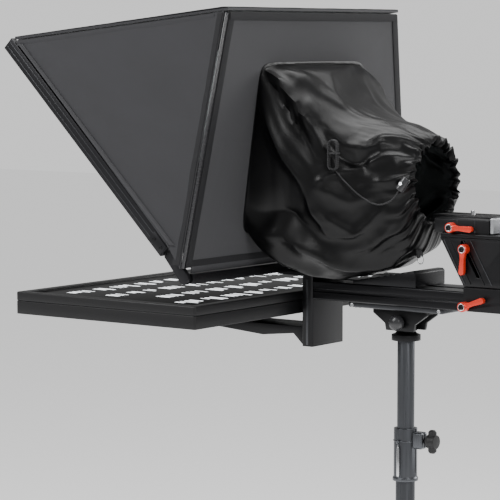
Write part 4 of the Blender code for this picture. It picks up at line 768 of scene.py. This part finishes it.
# Folds: (height, width, steep side, (angle in degrees, share of the length) along the crest).
# A fold falls away sharply on its steep side, up or down the sleeve, and gently on the other.
FOLDS = (
    (0.019, 0.012, 1, (52, 0.02), (48, 0.09), (44, 0.18), (38, 0.26), (34, 0.33), (24, 0.42), (16, 0.50)),
    (-0.014, 0.011, 0, (46, 0.03), (36, 0.09), (28, 0.18), (22, 0.27), (12, 0.36)),
    (0.013, 0.013, -1, (2, 0.02), (5, 0.12), (4, 0.22), (0, 0.32), (-10, 0.38), (-24, 0.44)),
    (-0.015, 0.011, 0, (-4, 0.03), (-6, 0.12), (-9, 0.22), (-18, 0.32), (-32, 0.42)),
    (0.023, 0.016, 1, (-8, 0.02), (-12, 0.12), (-18, 0.25), (-30, 0.39), (-46, 0.50), (-64, 0.62),
     (-80, 0.72)),
    (0.008, 0.014, 1, (-34, 0.02), (-44, 0.14), (-58, 0.28), (-78, 0.42)),
    (0.012, 0.011, -1, (58, 0.20), (48, 0.28), (40, 0.38), (34, 0.48), (32, 0.58)),
    (0.010, 0.009, -1, (34, 0.50), (36, 0.60), (42, 0.70), (46, 0.80)),
    (-0.010, 0.010, 0, (30, 0.34), (25, 0.44), (24, 0.54), (28, 0.64)),
    (0.008, 0.007, -1, (2, 0.36), (2, 0.46), (-2, 0.56), (-1, 0.68)),
    (0.007, 0.006, 1, (-4, 0.40), (-12, 0.48), (-22, 0.57), (-26, 0.66)),
    (0.007, 0.006, 1, (4, 0.37), (10, 0.43), (17, 0.52), (22, 0.60)),
    (0.008, 0.008, -1, (-22, 0.46), (-24, 0.56), (-20, 0.66), (-10, 0.76)),
    (0.007, 0.008, -1, (-34, 0.50), (-38, 0.60), (-34, 0.72), (-22, 0.82)),
    (0.005, 0.006, 1, (86, 0.05), (76, 0.16), (64, 0.26)),
    (0.005, 0.007, -1, (76, 0.08), (66, 0.14), (58, 0.20)),
    (0.006, 0.008, 1, (100, 0.04), (92, 0.14), (84, 0.25), (72, 0.38)),
    (0.005, 0.010, 1, (112, 0.06), (104, 0.20), (98, 0.36)),
    (0.008, 0.008, 1, (46, 0.62), (50, 0.70), (56, 0.80), (60, 0.94)),
    (0.009, 0.008, 1, (22, 0.60), (30, 0.70), (36, 0.82), (38, 0.95)),
    (0.007, 0.007, 1, (10, 0.66), (12, 0.76), (16, 0.86), (18, 0.95)),
    (0.008, 0.008, -1, (-44, 0.58), (-38, 0.70), (-32, 0.84), (-30, 0.95)),
    (0.009, 0.010, -1, (-74, 0.62), (-64, 0.74), (-56, 0.90)),
    (0.014, 0.014, -1, (128, 0.02), (132, 0.14), (142, 0.28), (158, 0.42), (170, 0.52)),
    (-0.010, 0.014, 0, (140, 0.04), (150, 0.18), (164, 0.32), (178, 0.44)),
    (0.016, 0.015, -1, (186, 0.02), (192, 0.14), (204, 0.28), (222, 0.42), (240, 0.56)),
    (-0.010, 0.012, 0, (174, 0.08), (180, 0.20), (192, 0.34), (212, 0.48)),
    (0.009, 0.012, -1, (226, 0.02), (234, 0.16), (248, 0.32), (262, 0.46)),
    (0.008, 0.009, 1, (150, 0.44), (158, 0.58), (164, 0.72), (166, 0.88)),
    (0.008, 0.009, -1, (196, 0.48), (194, 0.62), (190, 0.78)),
    (0.008, 0.009, 1, (118, 0.34), (124, 0.50), (128, 0.66), (126, 0.84)),
    (0.008, 0.010, -1, (250, 0.54), (242, 0.70), (236, 0.88)),
)
AROUND, ALONG = 288, 120


def near_crest(turn, share, path, girth):
    """(distance, progress, side) from a place on the sleeve to a fold's crest, on the flat cloth."""
    best, where, side = 9.0, 0.0, 1
    last = len(path) - 1
    for k in range(last):
        (a0, s0), (a1, s1) = path[k], path[k + 1]
        ax = ((turn - a0 + 180) % 360 - 180) * girth
        ay = (share - s0) * SIDE_LENGTH
        bx = ((a1 - a0 + 180) % 360 - 180) * girth
        by = (s1 - s0) * SIDE_LENGTH
        t = max(0.0, min(1.0, (ax * bx + ay * by) / (bx * bx + by * by)))
        gap = math.hypot(ax - bx * t, ay - by * t)
        if gap < best:
            best, where = gap, (k + t) / last
            side = 1 if ax * by - ay * bx > 0 else -1
    return best, where, side


RAIL_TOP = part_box("base_rail")[1].z
CROSSBAR_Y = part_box("hood_crossbar")[0].y
# The wedge starts low at its front end and rises evenly toward the rear.
WEDGE_FRONT, WEDGE_TOP, WEDGE_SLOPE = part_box("rail_wedge")[0].y, 0.9963, 0.197
LEAN_BACK, ROOM = 0.035, 0.002              # the hood's 2 degrees as a slope, and clear air below the bag
turns, runs = [], [0.0]
fine = [math.tau * i / 3000 for i in range(3001)]
for a, b in zip(fine, fine[1:]):
    runs.append(runs[-1] + (sleeve_base(b, 0.0) - sleeve_base(a, 0.0)).length)
k = 0
for i in range(AROUND):
    while runs[k + 1] < runs[-1] * i / AROUND:
        k += 1
    turns.append(fine[k])
rows = []
for r in range(ALONG + 1):
    share = r / ALONG
    ring = []
    for i, start_turn in enumerate(turns):
        even = math.tau * i / AROUND
        blend = min(1.0, share * 1.6)
        turn = start_turn + (even - start_turn) * blend * blend * (3 - 2 * blend)
        p = sleeve_base(turn, share)
        middle = Vector((0, p.y, MOUTH_MIDDLE + 0.05 * max(0.0, 1 - share * 2)))
        out = p - middle
        girth = out.length * math.pi / 180
        out.normalize()
        degrees = math.degrees(turn)
        rise = 0.0
        for height, width, steep, *path in FOLDS:
            if not path[0][1] - 0.2 < share < path[-1][1] + 0.2:
                continue
            gap, where, side = near_crest(degrees, share, path, girth)
            reach = width * (1 if not steep else 0.62 if side == steep else 1.5)
            if gap < 4 * reach:
                fade = min(1.0, 0.35 + 3.2 * where) * min(1.0, 2.6 * (1 - where)) ** 0.8
                sharp = math.exp(0.1 - math.sqrt((gap / reach) ** 2 + 0.01))
                rise += height * fade * sharp
        held = min(1.0, share * 9)
        wrinkle = noise.noise(Vector((5 * math.cos(turn), 5 * math.sin(turn), share * 5))) * 0.0045
        wrinkle += noise.noise(Vector((15 * math.cos(turn), 15 * math.sin(turn), share * 9 + 4))) * 0.0013
        rise += wrinkle * held * (1 - 0.6 * share)
        pull = max(0.0, (share - 0.70) / 0.30) ** 1.4
        wander = 0.9 * noise.noise(Vector((3 * math.cos(turn), 3 * math.sin(turn), 1.7)))
        pleat = math.sin(26 * turn + 5 * wander + 1.5 * share)
        pleat = math.copysign(abs(pleat) ** 0.8, pleat) + 0.45 * math.sin(43 * turn + 7 * wander)
        rise += 0.0034 * pull * pleat
        q = p + out * rise * (held if share < 0.12 else 1.0)
        # The bag stays clear of the rail and the wedge below it, also with the hood leaning back.
        over = min(1.0, max(0.0, (0.064 - abs(q.x)) / 0.020))
        over *= min(1.0, max(0.0, (q.y - WEDGE_FRONT) / 0.010 + 1))
        rest = RAIL_TOP + (WEDGE_TOP + WEDGE_SLOPE * max(0.0, q.y - WEDGE_FRONT) - RAIL_TOP) * over
        q.z = max(q.z, rest + LEAN_BACK * (q.y - CROSSBAR_Y) + ROOM + 0.0006 * math.sin(20 * turn))
        if share > 0.94:
            q.y += 0.0016 * math.sin(13 * turn + 2 * wander) * (share - 0.94) / 0.06
        ring.append(q)
    rows.append(ring)
# Cloth bends no tighter than its own stiffness lets it, so each point is drawn toward its neighbours.
for _ in range(2):
    eased = [rows[0]]
    for above, ring, below in zip(rows, rows[1:], rows[2:]):
        eased.append([(4 * p + above[i] + below[i] + ring[i - 1] + ring[(i + 1) % AROUND]) / 8
                      for i, p in enumerate(ring)])
    rows = [*eased, rows[-1]]
# The mouth's hem turns inward over the drawstring.
mouth = rows[-1]
for inward, back in ((0.0035, 0.0022), (0.0070, -0.0005), (0.0085, -0.0060)):
    ring = []
    for p in mouth:
        out = p - Vector((0, p.y, MOUTH_MIDDLE))
        ring.append(p - out.normalized() * inward + Vector((0, back, 0)))
    rows.append(ring)
rows = [row[::-1] for row in rows]
# Satin nylon: black, with a soft grey highlight that runs along every fold.
satin_nylon = woven("satin_nylon", "#030304", "#080809", 0.0006, 0.35, 0.00004, Specular_IOR_Level=0.27)
sleeve, area = cloth("lens_sleeve_cloth", rows, 0.0008, satin_nylon, closed=True)
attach(sleeve, "hood")
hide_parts("lens_sleeve")
# A turned hem stitches the sleeve's root to the panel.
rows = []
for out, lift in ((0.0024, 0.0004), (0.0021, 0.0011), (0.0006, 0.0014), (-0.0010, 0.0016)):
    row = []
    for i in range(AROUND):
        p = sleeve_base(turns[i], 0.0)
        away = Vector((p.x, 0, p.z - ROOT_MIDDLE)).normalized()
        q = p + away * out
        row.append(Vector((q.x, back_y(q.z) + lift + 0.0002 * math.sin(90 * turns[i]), q.z)))
    rows.append(row)
rows = [row[::-1] for row in rows]
root_hem, _ = cloth("sleeve_root_hem", rows, 0.0010, satin_nylon, closed=True)
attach(root_hem, "hood")
# Strap tab and wire loop: a short webbing tab sewn under the mouth, with a bent steel loop in it.
tab_rows = []
for k in range(5):
    tab_rows.append([Vector((0.010 + 0.003 * i, 0.0960 + 0.0008 * k,
                             1.0480 - 0.0036 * k + 0.0006 * math.sin(1.3 * i))) for i in range(6)])
loop_centre = (0.0175, 0.0992, 1.0300)
tab, _ = cloth("strap_tab", tab_rows, 0.0014, grosgrain)
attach(tab, "hood")
deselect()
bpy.ops.mesh.primitive_torus_add(major_radius=0.0042, minor_radius=0.0006, major_segments=32,
                                 minor_segments=8,
                                 location=loop_centre, rotation=(0, math.pi / 2, 0.4))
wire_loop = bpy.context.object
wire_loop.name = "wire_loop"
settle()
bpy.ops.object.mode_set(mode="EDIT")
bpy.ops.mesh.select_all(action="SELECT")
bpy.ops.transform.resize(value=(1.0, 1.0, 1.35), center_override=loop_centre)
bpy.ops.object.mode_set(mode="OBJECT")
place_material(wire_loop, chrome)
bpy.ops.object.shade_smooth()
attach(wire_loop, "hood")

# Drawstring: braided polyester cord that gathers the sleeve's mouth.
# It leaves the cord lock, runs up the sleeve's side, and its spare length is tied in a small hank.
CORD_D = 0.0022
cord_route = [
    (0.085, 0.1051, 1.1315),
    (0.091, 0.0966, 1.1180),
    (0.098, 0.0786, 1.1120),
    (0.104, 0.0566, 1.1220),
    (0.1085, 0.0346, 1.1400),
    (0.112, 0.0216, 1.1580),
]


def smooth_points(points, count):
    """Points on one smooth curve through the given ones."""
    knots = [Vector(p) for p in points]
    knots = [2 * knots[0] - knots[1], *knots, 2 * knots[-1] - knots[-2]]
    made = []
    for a, b, c, d in zip(knots, knots[1:], knots[2:], knots[3:]):
        for i in range(count):
            t = i / count
            made.append(0.5 * (2 * b + (c - a) * t + (2 * a - 5 * b + 4 * c - d) * t ** 2
                               + (3 * b - a - 3 * c + d) * t ** 3))
    return made + [knots[-2]]


def hank_points(centre, half_length, half_width, turns, pitch):
    """The racetrack windings of a hank that hangs in a plane across X, from its lower end."""
    made = []
    steps = 24
    for i in range(round(turns * steps)):
        turn = i / steps
        angle = -math.pi / 2 + math.tau * turn
        y = half_width * math.cos(angle)
        z = half_width * math.sin(angle) + math.copysign(half_length - half_width, math.sin(angle))
        x = -pitch * (turns - 1) / 2 + pitch * turn
        made.append(Vector(centre) + Vector((x, y, z)))
    return made


hank_centre = (0.1155, 0.0166, 1.180)
tie_centre = (hank_centre[0], hank_centre[1], hank_centre[2] + 0.002)
windings = hank_points(hank_centre, 0.0205, 0.0068, 3.0, 0.0024)
line = smooth_points(cord_route[:-1] + [tuple(windings[0])], 3)[:-1] + windings
curve = bpy.data.curves.new("drawstring_cord", "CURVE")
curve.dimensions = "3D"
curve.bevel_depth = CORD_D / 2
curve.bevel_resolution = 3
curve.use_fill_caps = True
path = curve.splines.new("POLY")
path.points.add(len(line) - 1)
for knot, point in zip(path.points, line):
    knot.co = (*point, 1.0)
drawstring = bpy.data.objects.new("drawstring_cord", curve)
bpy.context.scene.collection.objects.link(drawstring)

# Braided polyester: a matt black braid, with a plait about 1.5 mm long along the cord.
braid, shader = new_material("braided_polyester")
coords = node(braid, "ShaderNodeTexCoord")
plait = node(braid, "ShaderNodeTexWave", {"Vector": coords.outputs["Object"], "Scale": 210.0,
                                          "Distortion": 2.0},
             bands_direction="DIAGONAL")
tone = node(braid, "ShaderNodeMixRGB", {"Fac": plait.outputs["Fac"], "Color1": linear("#0C0C0D"),
                                        "Color2": linear("#2C2C2E")})
relief = node(braid, "ShaderNodeBump", {"Height": plait.outputs["Fac"], "Strength": 0.7, "Distance": 0.0004})
wire(braid, shader, {"Base Color": tone.outputs["Color"], "Normal": relief.outputs["Normal"],
                     "Roughness": 0.62})
place_material(drawstring, braid)
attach(drawstring, "hood")
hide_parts("drawstring", "drawstring_hank")
# A short length of the same cord ties the hank's middle.
deselect()
bpy.ops.mesh.primitive_torus_add(major_radius=0.0062, minor_radius=0.0011, major_segments=40,
                                 minor_segments=10,
                                 location=tie_centre)
tie = bpy.context.object
tie.name = "hank_tie"
settle()
bpy.ops.object.mode_set(mode="EDIT")
bpy.ops.mesh.select_all(action="SELECT")
bpy.ops.transform.resize(value=(0.93, 1.45, 1.0), center_override=tie_centre)
bpy.ops.object.mode_set(mode="OBJECT")
place_material(tie, braid)
bpy.ops.object.shade_smooth()
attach(tie, "hood")
# Cord lock: a black acetal barrel with a sprung plunger and a bright rivet in its side.
# The barrel's lighter polished tone is painted highlight; its low roughness gives a real one.
refined("cord_lock", "hood", polished_nylon_and_painted_highlight, 0.0012, 3)
lock_low, lock_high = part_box("cord_lock")
lock_middle = (lock_low + lock_high) / 2
stud = socket_screw("lock_stud", lock_middle + Vector((0.0062, 0.0006, 0.0012)), (0.93, 0.10, 0.35), 0.0046,
                    0.0014, chrome)
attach(stud, "hood")

# Riser carriage: a machined saddle that slides along the rail, with the guide box bolted on it.
# Black anodised.
refined("rail_carriage", "carriage", black_anodising, 0.0008, 3)
refined("riser_guide", "carriage", black_anodising, 0.0006)
refined("riser_guide_bolt", "carriage", black_anodising, 0.0006)

# Riser cheeks: two slotted side plates with raised ribs along the lean, joined by a platform.
# Extruded and cut, so that the ribs and the slots' rims catch a fine bright line; on some ribs that line is
# painted in the lighter grey, as painted highlight.
lean = math.radians(30)
for side, label in ((-1, "left"), (1, "right")):
    refined(f"riser_cheek_{label}", "riser", black_anodising, 0.0006)
    ribs = []
    # Ribs in the lighter grey: painted highlight.
    for foot, finish, breadth in ((0.1990, machined_grey_and_painted_highlight, 0.0012), (0.2080, black_anodising, 0.0016),
                                  (0.2300, black_anodising, 0.0016), (0.2420, machined_grey_and_painted_highlight, 0.0012),
                                  (0.3000, machined_grey_and_painted_highlight, 0.0030), (0.3120, black_anodising, 0.0016)):
        height = 0.060
        centre = (side * 0.0491, foot - 0.033 * math.tan(lean) - 0.006, 1.0342)
        ribs.append(bar("cheek_rib", centre, (0.0012, breadth, height / math.cos(lean)), finish, 0.0003,
                        (lean, 0, 0)))
    joined(f"cheek_ribs_{label}", "riser", "aluminium_black", *ribs)
refined("riser_platform", "riser", black_anodising, 0.0006)
platform_low, platform_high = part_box("riser_platform")
platform_screws = []
for side in (-1, 1):
    for along in (platform_low.y + 0.006, platform_high.y - 0.020, platform_high.y - 0.006):
        platform_screws.append(socket_screw("platform_screw",
                                            (side * 0.0455, along, platform_high.z - 0.0001), (0, 0, 1),
                                            0.0050, 0.0012, black_anodising))
joined("platform_screws", "riser", "aluminium_black", *platform_screws)

# Plate clamp and camera plate: a dovetail clamp, the sliding plate in it with a rubber face,
# a clear-anodised end stop and the camera screw.
refined("plate_clamp", "riser", black_anodising, 0.0008, 3)
clamp_base_low, clamp_base_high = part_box("plate_clamp")
# Two thin lines in the lighter grey on the clamp's side: painted highlight.
lines = []
for along in (0.1755, 0.2040):
    lines.append(bar("clamp_line", (0.0451, along, (clamp_base_low.z + clamp_base_high.z) / 2),
                     (0.0006, 0.0010, 0.0180), machined_grey_and_painted_highlight, 0.0002))
joined("clamp_lines", "riser", "aluminium_black", *lines)
refined("camera_plate", "camera_plate", black_anodising, 0.0005)
seat_low, seat_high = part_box("camera_plate")
pads = []
for across in (-0.0155, 0.0155):
    pads.append(bar("seat_pad", (across, (seat_low.y + seat_high.y) / 2, seat_high.z + 0.0002),
                    (0.0110, 0.088, 0.0008), rubber, 0.0003))
joined("seat_pads", "camera_plate", "aluminium_black", *pads)
# Clear anodising: pale satin aluminium.
clear_anodising = grained("clear_anodising", ("#A9ABAE", "#BDBFC2"), (0.28, 0.38), 1200.0, 0.00002,
                          (0.05, 1, 1), Metallic=0.9)
refined("plate_end_stop", "camera_plate", clear_anodising, 0.0006, 3)
refined("camera_screw", "camera_screw", chrome, 0.0003)

# Clamping levers: cast aluminium arms, anodised red, each on a black hexagon screw with a
# bright rim. Worn edges stay the same red; the hub's socket is dark.
red_anodising = grained("red_anodising", ("#D8301F", "#E4402C"), (0.26, 0.36), 900.0, 0.00003, Metallic=0.35)
for name, body, at, shank in (
    ("riser_lever", "riser_lever", (0.0493, 0.1919, 1.0528), 0.0110),
    ("carriage_lever", "carriage_lever", (0.0493, 0.1919, 0.9730), 0.0110),
    ("plate_lever", "plate_lever", (0.0453, 0.1683, 1.0813), 0.0110),
):
    refined(name, body, red_anodising, 0.0007, 3)
    face = Vector(at) + Vector((shank, 0, 0))
    deselect()
    bpy.ops.mesh.primitive_torus_add(major_radius=0.0046, minor_radius=0.0007, major_segments=40,
                                     minor_segments=10,
                                     location=face, rotation=(0, math.pi / 2, 0))
    rim_ring = bpy.context.object
    settle()
    place_material(rim_ring, chrome)
    bpy.ops.object.shade_smooth()
    screw = socket_screw("lever_screw", face + Vector((-0.0008, 0, 0)), (1, 0, 0), 0.0082, 0.0016,
                         black_anodising, 6)
    joined(name + "_screw", body, "aluminium_black", rim_ring, screw)
